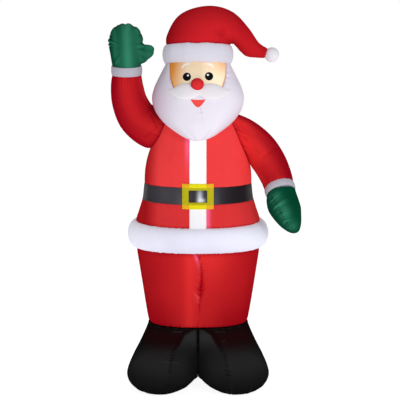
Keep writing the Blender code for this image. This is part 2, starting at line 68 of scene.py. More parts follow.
MIDDLE = np.array([*((belt_low + belt_high) / 2).xy, 0.0])
BOOT_TOP, HEM_BOTTOM, HEM_TOP = 0.385, 0.905, 1.070
BELT_BOTTOM, BELT_TOP = 1.213, 1.318
ANKLE_HALF_WIDTH, HIP_HALF_WIDTH = 0.331, 0.412
ANKLE_DEPTH_SHARE, CHEST_DEPTH_SHARE = 0.58, 0.86
LEG_COLUMNS = 448
# painted glow: no light stands at these places, each lamp's light is painted into the cloth's colour and
# emission
# place, reach and power of each
LAMPS = (
    ((0.02, -0.16, 0.76), 0.24, 1.0),
    ((0.06, -0.10, 1.48), 0.55, 1.05),
    ((0.05, -0.06, 1.94), 0.32, 1.0),
    ((0.06, -0.02, 2.33), 0.24, 1.0),
)


def dying_out(value, reach, power=2):
    """1 where the value is 0, falling to nothing over this reach."""
    return np.exp(-((value / reach) ** power))


def clamped(value):
    """The value, kept between 0 and 1."""
    return np.clip(value, 0, 1)


def rings_of(columns, values):
    """(turn, value) at each point of a grid that has one ring of this many points to each value."""
    return np.meshgrid(np.arange(columns) / columns, values)


def through(rows, at):
    """The rows' other columns at these values of the first one, on a smooth line through them."""
    rows, at = np.asarray(rows, float), np.asarray(at, float)
    i = np.clip(np.searchsorted(rows[:, 0], at) - 1, 0, len(rows) - 2)
    first, last = rows[i], rows[i + 1]
    before, after = rows[np.maximum(i - 1, 0)], rows[np.minimum(i + 2, len(rows) - 1)]
    span = (last - first)[..., :1]
    t = clamped((at[..., None] - first[..., :1]) / span)
    rise_in = (last - before)[..., 1:] / (last - before)[..., :1] * span
    rise_out = (after - first)[..., 1:] / (after - first)[..., :1] * span
    return (
        (2 * t**3 - 3 * t**2 + 1) * first[..., 1:]
        + (t**3 - 2 * t**2 + t) * rise_in
        + (3 * t**2 - 2 * t**3) * last[..., 1:]
        + (t**3 - t**2) * rise_out
    )


def numbered(stations):
    """The stations with their number in front, for a smooth line through them all."""
    return [(i, *station) for i, station in enumerate(stations)]


def round_about(turn, power=2.0):
    """Places round an oval of this power: turn 0 is the front, a quarter is the figure's left."""
    s, c = np.sin(2 * np.pi * turn), np.cos(2 * np.pi * turn)
    return np.sign(s) * np.abs(s) ** (2 / power), -np.sign(c) * np.abs(c) ** (2 / power)


def drift(u, seed, lowest=1, highest=9, waves=7):
    """A smooth wandering value about 0 that closes on itself as u goes from 0 to 1."""
    draw = np.random.default_rng(seed)
    total = np.zeros(np.shape(u))
    for _ in range(waves):
        total = total + np.sin(2 * np.pi * (draw.integers(lowest, highest + 1) * u + draw.random()))
    return total / math.sqrt(waves)


def gathers(u, away, count, seed, reach=0.045, depth=0.0030):
    """How a seam's thread gathers cloth: rounded folds with sharp valleys that die out from it."""
    wave = count * u + 0.9 * drift(u, seed, 2, max(3, count // 3))
    fold = np.abs(np.sin(np.pi * wave)) ** 0.75 - 0.65
    strength = np.clip(0.62 + 0.55 * drift(u, seed + 1, 2, max(4, count // 2)), 0.05, 1.6)
    length = reach * np.clip(1 + 0.7 * drift(u, seed + 2, 3, max(4, count // 2)), 0.25, 2.4)
    return 1.7 * depth * strength * fold * dying_out(np.abs(away), length, 1.3)


def seam_pull(away, depth=0.004, width=0.012):
    """How far a seam draws the cloth in beside itself."""
    return -depth * np.exp(-np.abs(away) / width)


def runs(grid):
    """The length along the cloth from a grid's first row to each of its points."""
    steps = np.linalg.norm(np.diff(grid, axis=0), axis=2)
    return np.concatenate([np.zeros((1, grid.shape[1])), np.cumsum(steps, axis=0)])


def outward(grid, closed=True):
    """The way out of the cloth at each point of a grid."""
    if closed:
        across = np.roll(grid, -1, 1) - np.roll(grid, 1, 1)
    else:
        across = np.gradient(grid, axis=1)
    out = np.cross(across, np.gradient(grid, axis=0))
    out /= np.maximum(np.linalg.norm(out, axis=2, keepdims=True), 1e-9)
    inside = grid.mean(axis=(0, 1))
    return out * np.sign(np.sum(out * (grid - inside)))


def moved_out(grid, rise):
    """The grid with its cloth moved out by this much."""
    return grid + outward(grid) * rise[..., None]


def along_line(points, line):
    """For each point its distance from a line of places, and how far along the line it is, 0 to 1."""
    line = np.asarray(line, float)
    lengths = np.linalg.norm(np.diff(line, axis=0), axis=1)
    starts = np.concatenate([[0.0], np.cumsum(lengths)])
    best = np.full(points.shape[:-1], 1e9)
    place = np.zeros(points.shape[:-1])
    for a, b, start, length in zip(line, line[1:], starts, lengths):
        t = clamped(((points - a) @ (b - a)) / length**2)
        far = np.linalg.norm(points - (a + t[..., None] * (b - a)), axis=-1)
        nearer = far < best
        best, place = np.where(nearer, far, best), np.where(nearer, start + t * length, place)
    return best, place / starts[-1]


def crease(points, line, depth, width, ends=0.12):
    """A fold drawn in along a line of places, shallow at its ends."""
    far, place = along_line(points, line)
    fade = clamped(np.minimum(place, 1 - place) / ends) ** 0.7
    return -depth * fade * dying_out(far, width, 1.2)


def lamp_light(points):
    """How much painted light from the lamps inside the cloth gets at each point."""
    total = np.zeros(points.shape[:-1])
    for place, reach, power in LAMPS:
        total += power * dying_out(np.linalg.norm(points - np.array(place), axis=-1), reach)
    return total


def sewn(
    name, grid, cloth, node, closed=True, capped=True, marks=None, rise=None, turned=0.6
):
    """The object of one chamber from rows of points, with its UVs in metres and its light.

    closed joins each row to a ring, capped closes the first and the last ring, and turned is the
    share of the lamps' light that is lost where the cloth turns to the side."""
    rows, columns = grid.shape[:2]
    number = np.arange(rows * columns).reshape(rows, columns)
    points = grid.reshape(-1, 3)
    beside = np.roll(number, -1, 1) if closed else number[:, 1:]
    base = number if closed else number[:, :-1]
    faces = np.stack([base[:-1], beside[:-1], beside[1:], base[1:]], -1)
    widths = np.linalg.norm(np.diff(np.concatenate([grid, grid[:, :1]], 1), axis=1), axis=2).mean(0)
    u, v = np.concatenate([[0.0], np.cumsum(widths)]), runs(grid).mean(1)
    cells = faces.shape[1]
    corners = [
        np.stack(np.broadcast_arrays(u[i : cells + i], v[j : rows - 1 + j, None]), -1)
        for i, j in ((0, 0), (1, 0), (1, 1), (0, 1))
    ]
    all_faces, uvs = faces.reshape(-1, 4).tolist(), [np.stack(corners, 2).reshape(-1, 2)]
    values = dict(marks or {})
    square_on = np.abs(outward(grid, closed)[..., 1])
    values.setdefault("lamp", lamp_light(grid) * (1 - turned * (1 - square_on**1.5)))
    if rise is not None:
        # painted shade in the folds and painted highlight on their crests, from how far the cloth was moved
        # out
        values["fold"], values["crest_highlight"] = fold_shade_share(rise), crest_highlight_share(rise)
    values = {key: value.reshape(-1) for key, value in values.items()}
    for row in (0, rows - 1) if closed and capped else ():
        pole = len(points)
        points = np.concatenate([points, grid[row].mean(0, keepdims=True)])
        values = {key: np.append(value, value[number[row]].mean()) for key, value in values.items()}
        ring, after = number[row], np.roll(number[row], -1)
        pair = [after, ring] if row == 0 else [ring, after]
        fan = np.stack([*pair, np.full(columns, pole)], -1)
        all_faces += fan.tolist()
        flat = points[fan] - points[pole]
        uvs.append(np.stack([flat[..., 0], flat[..., 1] + flat[..., 2]], -1).reshape(-1, 2))
    mesh = bpy.data.meshes.new(name)
    mesh.from_pydata((points + MIDDLE).tolist(), [], all_faces)
    mesh.uv_layers.new(name="UVMap").data.foreach_set("uv", np.concatenate(uvs).astype(np.float32).ravel())
    carried(mesh, values)
    if signed_volume(points, all_faces) < 0:
        mesh.flip_normals()
    if not capped:
        welded(mesh)
    mesh.shade_smooth()
    return placed(name, mesh, cloth, node)


def carried(mesh, values):
    """Gives a mesh these values, by name, one for each of its points."""
    for key, value in values.items():
        mesh.attributes.new(key, "FLOAT", "POINT").data.foreach_set("value", value.astype(np.float32))


def linked(name, content):
    """A new object in the scene."""
    made = bpy.data.objects.new(name, content)
    bpy.context.scene.collection.objects.link(made)
    return made


def welded(mesh):
    """Joins the points that lie on each other."""
    shape = bmesh.new()
    shape.from_mesh(mesh)
    bmesh.ops.remove_doubles(shape, verts=shape.verts, dist=1e-6)
    bmesh.ops.recalc_face_normals(shape, faces=shape.faces)
    shape.to_mesh(mesh)
    shape.free()


def fold_shade_share(rise):
    """How much painted shade the cloth gets in a fold, 0 to 1, from how far it was moved out."""
    return clamped((-0.0012 - rise) / 0.009)


def crest_highlight_share(rise):
    """How much painted highlight the cloth gets high on a fold, 0 to 1."""
    return clamped((rise - 0.0006) / 0.0045)


def signed_volume(points, faces):
    """Above zero where the faces look outwards."""
    first = np.array([face[:3] for face in faces])
    a, b, c = (points[first[:, i]] for i in range(3))
    last = np.array([(face[0], face[-2], face[-1]) for face in faces])
    d, e, f = (points[last[:, i]] for i in range(3))
    return np.sum(a * np.cross(b, c)) + np.sum(d * np.cross(e, f))


def placed(name, mesh, cloth, node):
    """A piece that rides on the figure, stands for its solid and wears the given cloth."""
    mesh.materials.clear()
    mesh.materials.append(cloth)
    piece = linked(name, mesh)
    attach(piece, "root")
    if node:
        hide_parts(*([node] if isinstance(node, str) else node))
    return piece


def fed(tree, made, inputs):
    """Gives a node's sockets their values, or runs other sockets into them."""
    for socket, value in inputs.items():
        if isinstance(value, bpy.types.NodeSocket):
            tree.links.new(value, made.inputs[socket])
        else:
            made.inputs[socket].default_value = value


def node(tree, kind, inputs=(), **settings):
    """A node with its settings and with what goes into its sockets."""
    made = tree.nodes.new(kind)
    for key, value in settings.items():
        setattr(made, key, value)
    fed(tree, made, dict(inputs))
    return made


def mixed(tree, share, low, high, blend="MIX"):
    """Two colours, mixed by a share between 0 and 1."""
    low, high = ((*c, 1.0) if isinstance(c, tuple) else c for c in (low, high))
    settings = {"data_type": "RGBA", "blend_type": blend, "clamp_factor": True}
    return node(tree, "ShaderNodeMix", {0: share, 6: low, 7: high}, **settings).outputs[2]


def math_of(tree, operation, first, second=0.0, third=0.0, clamp=False):
    """The value of one sum on sockets or numbers."""
    inputs = {0: first, 1: second, 2: third}
    return node(tree, "ShaderNodeMath", inputs, operation=operation, use_clamp=clamp).outputs[0]


def nylon(
    name, colour, lit=None, glow=0.2, rough=0.5, gloss=0.0, crinkle=1.0, marks=(), tints=(),
    deep=0.45, crest_highlight=None,
):
    """Woven synthetic cloth: its dye, its threads, its fine crinkles and the painted light through it.

    lit is its painted lit colour where the lamps show through, marks are painted shapes as
    (attribute, colour) where the attribute is below zero, tints are (attribute, colour) mixed in by
    its value, deep is the share of its colour painted as shade in the folds, and crest is the colour
    of the painted highlight on the tops of the folds."""
    made = bpy.data.materials.new(name)
    made.use_nodes = True
    tree = made.node_tree
    shader = tree.nodes["Principled BSDF"]
    place = node(tree, "ShaderNodeTexCoord")
    lamp = node(tree, "ShaderNodeAttribute", attribute_name="lamp").outputs["Fac"]
    cloudy = node(tree, "ShaderNodeTexNoise", {0: place.outputs["Object"], 2: 3.1, 3: 3.0})
    fine = node(tree, "ShaderNodeTexNoise", {0: place.outputs["Object"], 2: 41.0, 3: 5.0})
    threads = []
    for direction in ("X", "Y"):
        inputs = {0: place.outputs["UV"], 1: THREADS, "Distortion": 0.6, "Detail Scale": 0.4}
        wave = node(tree, "ShaderNodeTexWave", inputs, bands_direction=direction)
        threads.append(wave.outputs["Fac"])
    weave = math_of(tree, "MULTIPLY", threads[0], threads[1])
    shade = mixed(tree, lamp, tuple(c * 0.86 for c in colour), lit or colour)
    worn = math_of(tree, "MULTIPLY_ADD", cloudy.outputs["Fac"], 0.22, 0.88)
    thready = math_of(tree, "MULTIPLY_ADD", weave, 0.10, 0.955)
    dull = math_of(tree, "MULTIPLY", worn, thready)
    grey = node(tree, "ShaderNodeCombineXYZ", {0: dull, 1: dull, 2: dull}).outputs[0]
    shade = mixed(tree, 1.0, shade, grey, "MULTIPLY")
    # painted shade in the folds, deep times the colour, and painted highlight on their crests
    folds = [("fold", tuple(c * deep for c in colour))] + ([("crest_highlight", crest_highlight)] if crest_highlight else [])
    for attribute, tint in (*tints, *folds):
        share = node(tree, "ShaderNodeAttribute", attribute_name=attribute).outputs["Fac"]
        shade = mixed(tree, share, shade, tint)
    for attribute, paint in marks:
        far = node(tree, "ShaderNodeAttribute", attribute_name=attribute).outputs["Fac"]
        share = math_of(tree, "MULTIPLY_ADD", far, -1 / PAINT_EDGE, 0.5, clamp=True)
        shade = mixed(tree, share, shade, paint)
    bumpy = {"Height": fine.outputs["Fac"], "Strength": 0.22 * crinkle, "Distance": 0.004}
    creased = node(tree, "ShaderNodeBump", bumpy)
    woven = node(
        tree,
        "ShaderNodeBump",
        {"Height": weave, "Normal": creased.outputs["Normal"], "Strength": 0.35, "Distance": 0.0002},
    )
    finish = {
        "Base Color": shade,
        "Emission Color": shade,
        "Emission Strength": math_of(tree, "MULTIPLY", lamp, glow),
        "Roughness": math_of(tree, "MULTIPLY_ADD", fine.outputs["Fac"], 0.16, rough - 0.08),
        "Specular IOR Level": gloss,
        "Normal": woven.outputs["Normal"],
    }
    fed(tree, shader, finish)
    return made


THREADS = 260.0
PAINT_EDGE = 0.0016
RED, RED_LIT = (0.36, 0.001, 0.008), (0.76, 0.030, 0.030)
# painted glow: the pink light of the lamps inside, mixed into the red cloth
PINK_GLOW = (0.95, 0.14, 0.30)
red_trousers = nylon(
    "red_taffeta", RED, RED_LIT, glow=0.16, tints=(("pink_glow", PINK_GLOW),), deep=1.0, crest_highlight=(0.86, 0.10, 0.11)
)

# level, depth as a share of the width, power of the oval
DEPTHS = (
    (BOOT_TOP, ANKLE_DEPTH_SHARE, 2.4),
    (HEM_BOTTOM, 0.73, 2.3),
    (HEM_TOP, 0.84, 2.1),
    (BELT_TOP, CHEST_DEPTH_SHARE, 2.0),
    (1.800, CHEST_DEPTH_SHARE, 2.0),
)
LEG_SHAPE = ((0, 0), (0.04, 0.07), (0.26, 0.30), (0.54, 0.56), (0.80, 0.80), (1, 1))
LEG_SEAM = ((BOOT_TOP, 0.000), (0.427, 0.003), (0.578, 0.013), (0.789, 0.022), (HEM_BOTTOM, 0.001))


def body_grid(turn, level, half_width, extra=0.0):
    """Points of the body at these turns and levels, for these half widths."""
    depth_share, power = np.moveaxis(through(DEPTHS, level), -1, 0)
    x, y = round_about(turn, power)
    return np.stack([x * (half_width + extra), y * (half_width * depth_share + extra), level], -1)


turn, level = rings_of(LEG_COLUMNS, np.linspace(BOOT_TOP, HEM_BOTTOM, 100))
share = (level - BOOT_TOP) / (HEM_BOTTOM - BOOT_TOP)
half_width = ANKLE_HALF_WIDTH + (HIP_HALF_WIDTH - ANKLE_HALF_WIDTH) * through(LEG_SHAPE, share)[..., 0]
legs = body_grid(turn, level, half_width)
beside = legs[..., 0] - through(LEG_SEAM, level)[..., 0]
front = legs[..., 1] < 0
arch = clamped(np.sin(np.pi * share)) ** 0.7
narrow, broad = dying_out(np.abs(beside), 0.011, 1.2), dying_out(np.abs(beside), 0.045, 1.6)
valley = arch * (0.004 * narrow + 0.016 * broad)
from_bottom = level - BOOT_TOP
from_top = HEM_BOTTOM - level
slanted = share - np.where(beside < 0, -2.0, 1.3) * beside
seam_folds = gathers(slanted, beside, 21, 35, 0.024, 0.0120) * clamped(from_top / 0.03)
seam_folds *= np.where(beside < 0, 1.0, 0.45) * np.clip((share - 0.22) / 0.15, 0.12, 1)
rise = (
    gathers(turn, from_bottom, 74, 3, 0.035, 0.0030)
    + gathers(turn, from_top, 66, 4, 0.030, 0.0018)
    + seam_pull(from_bottom, 0.006)
    + seam_pull(from_top, 0.010, 0.02)
    + np.where(front, 1.0, 0.7) * seam_folds
)
legs = moved_out(legs, rise + 0.0025 * drift(turn, 5, 3, 14) * np.sin(np.pi * share))
legs[..., 1] += np.where(front, valley, -valley)
# painted shade: a dark slit down the crease between the legs and a thin dark line along the seam, in the
# colour only
slit_shade_width = 0.006 + 0.014 * dying_out(level - 0.665, 0.070)
slit_shade = 0.009 * dying_out(level - 0.680, 0.125, 4) * dying_out(np.abs(beside - 0.003), slit_shade_width)
seam_line_shade = 0.0070 * dying_out(np.abs(beside), 0.004)
shade_rise = rise - slit_shade - seam_line_shade
# painted glow: pink light beside the seam at the top of the trousers
pink_glow = 0.8 * np.exp(-(((beside + 0.016) / 0.011) ** 2) - (clamped(0.895 - level) / 0.055) ** 2) * front
x = legs[..., 0]
leg_lamp = 0.30 + 0.22 * dying_out(x + 0.02, 0.20) + 0.22 * dying_out(x + 0.055, 0.035) * front
leg_lamp += 0.38 * np.exp(-((from_top / 0.20) ** 2) - (((x - 0.07) / 0.15) ** 2))
leg_lamp -= 0.22 * dying_out(from_bottom, 0.16) * clamped(np.abs(x + 0.02) / 0.15 - 0.3)
square_on = np.abs(outward(legs)[..., 1])
leg_lamp *= clamped(0.35 + 0.65 * square_on)
sewn(
    "trousers_cloth", legs, red_trousers, "trousers",
    marks={"pink_glow": pink_glow, "lamp": leg_lamp}, rise=shade_rise,
)

# ---------------------------------------------------------------------------------------------
# Coat hem. A fat roll of white taffeta, fullest at its middle, blown up round the foot of the
# coat and gathered a little where it is sewn to the coat and to the trousers.
# ---------------------------------------------------------------------------------------------
WHITE, WHITE_LIT = (0.79, 0.79, 1.0), (0.89, 0.89, 0.97)
white_cloth = nylon("white_taffeta", WHITE, WHITE_LIT, glow=0.24, rough=0.55, deep=0.80)
turn, share = rings_of(LEG_COLUMNS, (1 - np.cos(np.linspace(0, np.pi, 56))) / 2)
level = HEM_BOTTOM + (HEM_TOP - HEM_BOTTOM) * share
swell = 0.053 * np.sqrt(clamped(1 - (2 * share - 1) ** 2))
hem = body_grid(turn, level, np.full_like(level, HIP_HALF_WIDTH), swell)
down = runs(hem)
hem_rise = (
    gathers(turn + 0.015 * share, down, 92, 7, 0.030, 0.0038)
    + gathers(turn - 0.012 * share, down[-1] - down, 80, 8, 0.036, 0.0024)
    + 0.0016 * drift(turn + 0.03 * share, 9, 12, 40) * np.abs(np.sin(2 * np.pi * turn)) ** 2
)
hem = moved_out(hem, hem_rise)
hem_lamp = (
    0.42 + 0.22 * clamped((np.abs(hem[..., 0]) - 0.15) / 0.28) + 0.8 * np.clip(hem[..., 2] - 0.98, -0.2, 0.2)
)
sewn("hem_cloth", hem, white_cloth, "coat_hem", marks={"lamp": hem_lamp}, rise=hem_rise)

# ---------------------------------------------------------------------------------------------
# Coat skirt, belt and coat. Red taffeta with a band of black let in for the belt, all one tube
# of cloth, flush at the seams. Above the belt it closes to the dome that the head is sewn to.
# ---------------------------------------------------------------------------------------------
COAT, COAT_LIT = (0.48, 0.004, 0.008), (0.80, 0.050, 0.052)
red_coat = nylon("red_coat_taffeta", COAT, COAT_LIT, glow=0.20, tints=(("pink_glow", PINK_GLOW),))
black_cloth = nylon(
    "black_taffeta",
    (0.011, 0.008, 0.010),
    (0.036, 0.031, 0.040),
    glow=0.0,
    rough=0.40,
    gloss=0.08,
    tints=(("sheen", (0.095, 0.088, 0.105)), ("glare", (0.80, 0.84, 0.92))),
    crest_highlight=(0.045, 0.043, 0.055),
)
CHEST_HALF_WIDTH, CHEST_HEIGHT = 0.352, 0.482
WAIST = ((HEM_TOP, HIP_HALF_WIDTH), (BELT_BOTTOM, 0.366), (BELT_TOP, CHEST_HALF_WIDTH))
COAT_COLUMNS = 416
CHEST = (
    (0, 1), (0.17, 0.986), (0.33, 0.946), (0.47, 0.884), (0.60, 0.815), (0.74, 0.735), (0.86, 0.630),
    (0.95, 0.450), (1, 0.240),
)


def trunk_lamp(points):
    """The lamps' light on the coat: even, weakest at the right edge and strongest at the left."""
    x = points[..., 0]
    return 0.96 + 0.75 * clamped((x - 0.16) / 0.18) - 0.75 * clamped((-x - 0.248) / 0.08)


turn, level = rings_of(COAT_COLUMNS, np.linspace(HEM_TOP, BELT_BOTTOM, 40))
skirt = body_grid(turn, level, through(WAIST, level)[..., 0])
skirt_rise = (
    gathers(turn, level - HEM_TOP, 78, 11, 0.030, 0.0022)
    + gathers(turn, BELT_BOTTOM - level, 60, 12, 0.026, 0.0014)
    + seam_pull(level - HEM_TOP, 0.005)
    + seam_pull(BELT_BOTTOM - level, 0.002)
)
for side in (-1, 1):
    skirt_rise += crease(
        skirt,
        ((0.10 * side, -0.30, 1.205), (0.17 * side, -0.30, 1.15), (0.26 * side, -0.27, 1.10)),
        0.0014,
        0.008,
    )
skirt = moved_out(skirt, skirt_rise)
# painted glow: a pink streak beside the placket on the skirt
pink_glow = 0.8 * dying_out(skirt[..., 0] - 0.060, 0.016) * (skirt[..., 1] < 0)
sewn(
    "skirt_cloth", skirt, red_coat, "coat_skirt",
    marks={"pink_glow": pink_glow, "lamp": 0.72 * np.minimum(trunk_lamp(skirt), 1)}, rise=skirt_rise,
)

turn, level = rings_of(COAT_COLUMNS, np.linspace(BELT_BOTTOM, BELT_TOP, 26))
band = body_grid(turn, level, through(WAIST, level)[..., 0])
near = np.minimum(level - BELT_BOTTOM, BELT_TOP - level)
band_rise = (
    gathers(turn, near, 64, 14, 0.022, 0.0012) + seam_pull(near, 0.002) + 0.0008 * drift(turn, 15, 6, 22)
)
band = moved_out(band, band_rise)
x, z = band[..., 0], band[..., 2]
glare = dying_out(x - 0.012, 0.016) * clamped(0.65 + (1.27 - z) * 9)
glare += 0.7 * np.exp(-(((x - 0.026) / 0.018) ** 2 + ((z - 1.238) / 0.012) ** 2))
glare *= band[..., 1] < 0
up = np.abs(z - BELT_BOTTOM) / (BELT_TOP - BELT_BOTTOM)
sheen = dying_out(np.abs(x) - 0.085, 0.045) * (1 - 0.6 * up)
sheen += 0.5 * (x < 0) * dying_out(x + 0.20, 0.09)
sheen *= band[..., 1] < 0
band_lamp = (
    lamp_light(band) * (0.4 + 0.6 * np.abs(outward(band)[..., 1])) * (1 - 0.6 * clamped((x - 0.10) / 0.12))
)
marks = {"glare": clamped(glare), "sheen": clamped(sheen), "lamp": band_lamp}
sewn("belt_cloth", band, black_cloth, "belt", marks=marks, rise=band_rise)

turn, share = rings_of(COAT_COLUMNS, np.linspace(0, 1, 104))
level = BELT_TOP + CHEST_HEIGHT * share
coat = body_grid(turn, level, CHEST_HALF_WIDTH * through(CHEST, share)[..., 0])
coat_rise = (
    gathers(turn, level - BELT_TOP, 62, 17, 0.026, 0.0014)
    + seam_pull(level - BELT_TOP, 0.002)
    + 0.0014 * drift(turn, 18, 3, 12) * np.sin(np.pi * share)
)
coat = moved_out(coat, coat_rise)
# painted glow: a pink patch beside the placket on the coat
pink_glow = (
    0.75
    * np.exp(-(((coat[..., 0] + 0.064) / 0.015) ** 2) - ((coat[..., 2] - 1.60) / 0.13) ** 2)
    * (coat[..., 1] < 0)
)
sewn(
    "coat_cloth", coat, red_coat, "coat_body",
    marks={"pink_glow": pink_glow, "lamp": trunk_lamp(coat)}, rise=coat_rise,
)


def body_front(x, level, extra=0.0):
    """How far forward the body is at a place across it and a level."""
    rows = [(BELT_TOP + CHEST_HEIGHT * share, CHEST_HALF_WIDTH * wide) for share, wide in CHEST]
    half_width = np.where(level <= BELT_TOP, through(WAIST, level)[..., 0], through(rows, level)[..., 0])
    depth_share, power = np.moveaxis(through(DEPTHS, level), -1, 0)
    across = clamped(np.abs(x) / (half_width + extra))
    return -(half_width * depth_share + extra) * (1 - across**power) ** (1 / power)


# ---------------------------------------------------------------------------------------------
# Boots. Two feet of black taffeta, flat where they stand, turned out at the toes, drawn in
# along a seam over each instep and gathered round the edge of the sole.
# ---------------------------------------------------------------------------------------------
# share of the height, how far it spreads to the foot, shares of the width and of the length
BOOT_STATIONS = (
    (1.00, 0.00, 1.000, 1.000),
    (0.84, 0.14, 1.010, 1.000),
    (0.64, 0.44, 1.010, 1.000),
    (0.44, 0.78, 1.005, 1.000),
    (0.26, 1.01, 0.985, 1.000),
    (0.12, 1.04, 0.895, 0.955),
    (0.04, 1.05, 0.745, 0.850),
    (0.00, 1.05, 0.590, 0.700),
)
INSTEP = {
    -1: (
        (-0.091, -0.197, 0.368), (-0.160, -0.265, 0.265), (-0.176, -0.345, 0.191),
        (-0.188, -0.400, 0.110), (-0.184, -0.385, 0.029),
    ),
    1: (
        (0.084, -0.197, 0.368), (0.136, -0.236, 0.301), (0.172, -0.293, 0.236),
        (0.190, -0.385, 0.150), (0.196, -0.410, 0.067),
    ),
}
PANEL_EDGE = (
    (0.02, 0.195), (0.10, 0.190), (0.19, 0.176), (0.25, 0.150), (0.29, 0.118), (0.34, 0.088),
    (0.370, 0.040), (0.380, 0.0),
)
BOOT_STREAKS = (
    ((0.25, -0.13, 0.352), (0.17, -0.185, 0.358), (0.10, -0.20, 0.362)),
    ((0.24, -0.12, 0.362), (0.30, -0.11, 0.325), (0.33, -0.08, 0.295)),
)
boot_cloth = nylon(
    "boot_taffeta",
    (0.0045, 0.0045, 0.0045),
    glow=0.0,
    rough=0.42,
    gloss=0.0,
    tints=(
        ("toe_sheen", (0.023, 0.023, 0.023)), ("panel", (0.030, 0.031, 0.032)), ("upper", (0.015, 0.0034, 0.0040))
    ),
    crest_highlight=(0.038, 0.038, 0.040),
)
BOOT_HALF_WIDTH, BOOT_HALF_LENGTH, BOOT_OUT, BOOT_FORWARD = 0.242, 0.296, 0.218, 0.122
TOE_OUT = math.radians(10)
ANKLE_DEPTH = ANKLE_HALF_WIDTH * ANKLE_DEPTH_SHARE
for name, side in (("right", -1), ("left", 1)):
    turn, order = rings_of(288, np.linspace(0, 7, 110))
    high, spread, wide, long = np.moveaxis(through(numbered(BOOT_STATIONS), order), -1, 0)
    high = clamped(high)
    spread_in = np.minimum(spread, 1.0)
    half_width = (ANKLE_HALF_WIDTH + (BOOT_HALF_WIDTH - ANKLE_HALF_WIDTH) * spread_in) * wide
    half_length = (ANKLE_DEPTH + (BOOT_HALF_LENGTH - ANKLE_DEPTH) * spread_in) * long
    x, y = round_about(turn, 2.4 - 0.1 * spread_in)
    x, y = x * half_width, y * half_length
    toe_out = TOE_OUT * spread_in
    x, y, z = (
        x * np.cos(toe_out) - y * np.sin(toe_out) + BOOT_OUT * spread,
        x * np.sin(toe_out) + y * np.cos(toe_out) - BOOT_FORWARD * spread,
        BOOT_TOP * high,
    )
    inner, outer = clamped((0.26 - x) / 0.20), clamped((x - 0.26) / 0.14)
    x = x - 0.046 * inner * dying_out(z - 0.125, 0.042)
    x = x + (0.016 * inner - 0.020 * outer) * dying_out(z, 0.032)
    rounding = 0.006 + 0.026 * dying_out(z - 0.32, 0.06)
    x = side * 0.5 * (x + np.sqrt(x**2 + rounding**2))
    boot = np.stack([x, y, z], -1)[:, ::side]
    x, y, z = np.moveaxis(boot, -1, 0)
    from_top = BOOT_TOP - z
    far, place = along_line(boot, INSTEP[side])
    sole = clamped(z / 0.02)
    on_instep = gathers(place, far, 15, 27 + side, 0.032, 0.0046) * (place > 0.01) * (place < 0.99)
    boot_rise = (
        gathers(turn, from_top, 60, 21 + side, 0.035, 0.0030)
        + gathers(turn, z - 0.030, 64, 24 + side, 0.032, 0.0034) * sole
        + (crease(boot, INSTEP[side], 0.006, 0.010, 0.05) + on_instep) * sole
        + seam_pull(from_top, 0.004)
        + 0.0030 * dying_out(from_top - 0.006, 0.006)
    )
    near_slit = dying_out(z - 0.315, 0.045, 4) * (y < 0)
    slanted = from_top / 0.14 - 1.6 * x * side
    boot_rise += gathers(slanted, x, 9, 29 + side, 0.034, 0.0034) * near_slit
    for streak in BOOT_STREAKS:
        boot_rise += crease(boot, [(side * sx, sy, sz) for sx, sy, sz in streak], -0.0035, 0.0045)
    # painted sheen on the top of each toe
    toe_sheen = dying_out(z - 0.20, 0.09) * clamped(-y / 0.25) ** 2
    boot = moved_out(boot, boot_rise)
    boot[..., 2] = np.maximum(boot[..., 2], 0.0)
    boot[-1, :, 2] = 0.0
    x, y, z = np.moveaxis(boot, -1, 0)
    within = clamped((np.interp(z, *np.array(PANEL_EDGE).T) - np.abs(x)) / 0.012 + 0.5)
    # the painted sheen weaker inside the front panels and fading out where the two boots meet
    toe_sheen = toe_sheen * (1 - 0.22 * within) * (1 - 0.85 * dying_out(x, 0.080))
    upper = dying_out(z - 0.32, 0.055) * clamped(-y / 0.15) * (1 - within)
    panel = 0.9 * dying_out(z - 0.335, 0.060) * within * (y < 0) * clamped(np.abs(x) / 0.012 - 0.4)
    marks = {"toe_sheen": toe_sheen, "upper": upper, "panel": panel}
    sewn(name + "_boot_cloth", boot, boot_cloth, name + "_boot", marks=marks, rise=boot_rise)

# ---------------------------------------------------------------------------------------------
# Head. A white shell for the hair and the beard, with a flesh-coloured panel sewn into it for
# the face. The brows, the eyes and the mouth are printed on the cloth.
# ---------------------------------------------------------------------------------------------
BAND_BOTTOM, BAND_TOP = 2.080, 2.195
BEARD_DROP, HEAD_HALF_WIDTH = 0.476, 0.294
# share of the drop, then half width, front and back as shares of the widest half width
HEAD = (
    (0, 0.697, -0.669, 0.669),
    (0.098, 0.782, -0.760, 0.755),
    (0.206, 0.872, -0.840, 0.815),
    (0.312, 0.950, -0.925, 0.835),
    (0.448, 1.000, -1.010, 0.815),
    (0.584, 0.960, -1.075, 0.770),
    (0.690, 0.866, -1.110, 0.690),
    (0.794, 0.714, -1.125, 0.450),
    (0.894, 0.480, -1.110, -0.100),
    (0.966, 0.255, -1.075, -0.650),
    (1.000, 0.070, -1.030, -0.850),
)
FACE_SHAPE = ((0, 0.182), (0.050, 0.181), (0.095, 0.174), (0.150, 0.156), (0.180, 0.141), (0.215, 0.115))
FACE_DROP = 0.193
HEAD_POWER = 2.15


def head_rows(level):
    """(half width, front, back) of the head at these levels."""
    return np.moveaxis(through(HEAD, (BAND_BOTTOM - level) / BEARD_DROP) * HEAD_HALF_WIDTH, -1, 0)


def head_grid(turn, level, extra):
    """Points of the head at these turns and levels, moved out by extra."""
    half_width, front, back = head_rows(level)
    x, y = round_about(turn, HEAD_POWER)
    return np.stack(
        [x * (half_width + extra), (front + back) / 2 + y * ((back - front) / 2 + extra), level], -1
    )


def face_half_width(level):
    """Half the face panel's width at a level."""
    return through(FACE_SHAPE, BAND_BOTTOM - level)[..., 0]


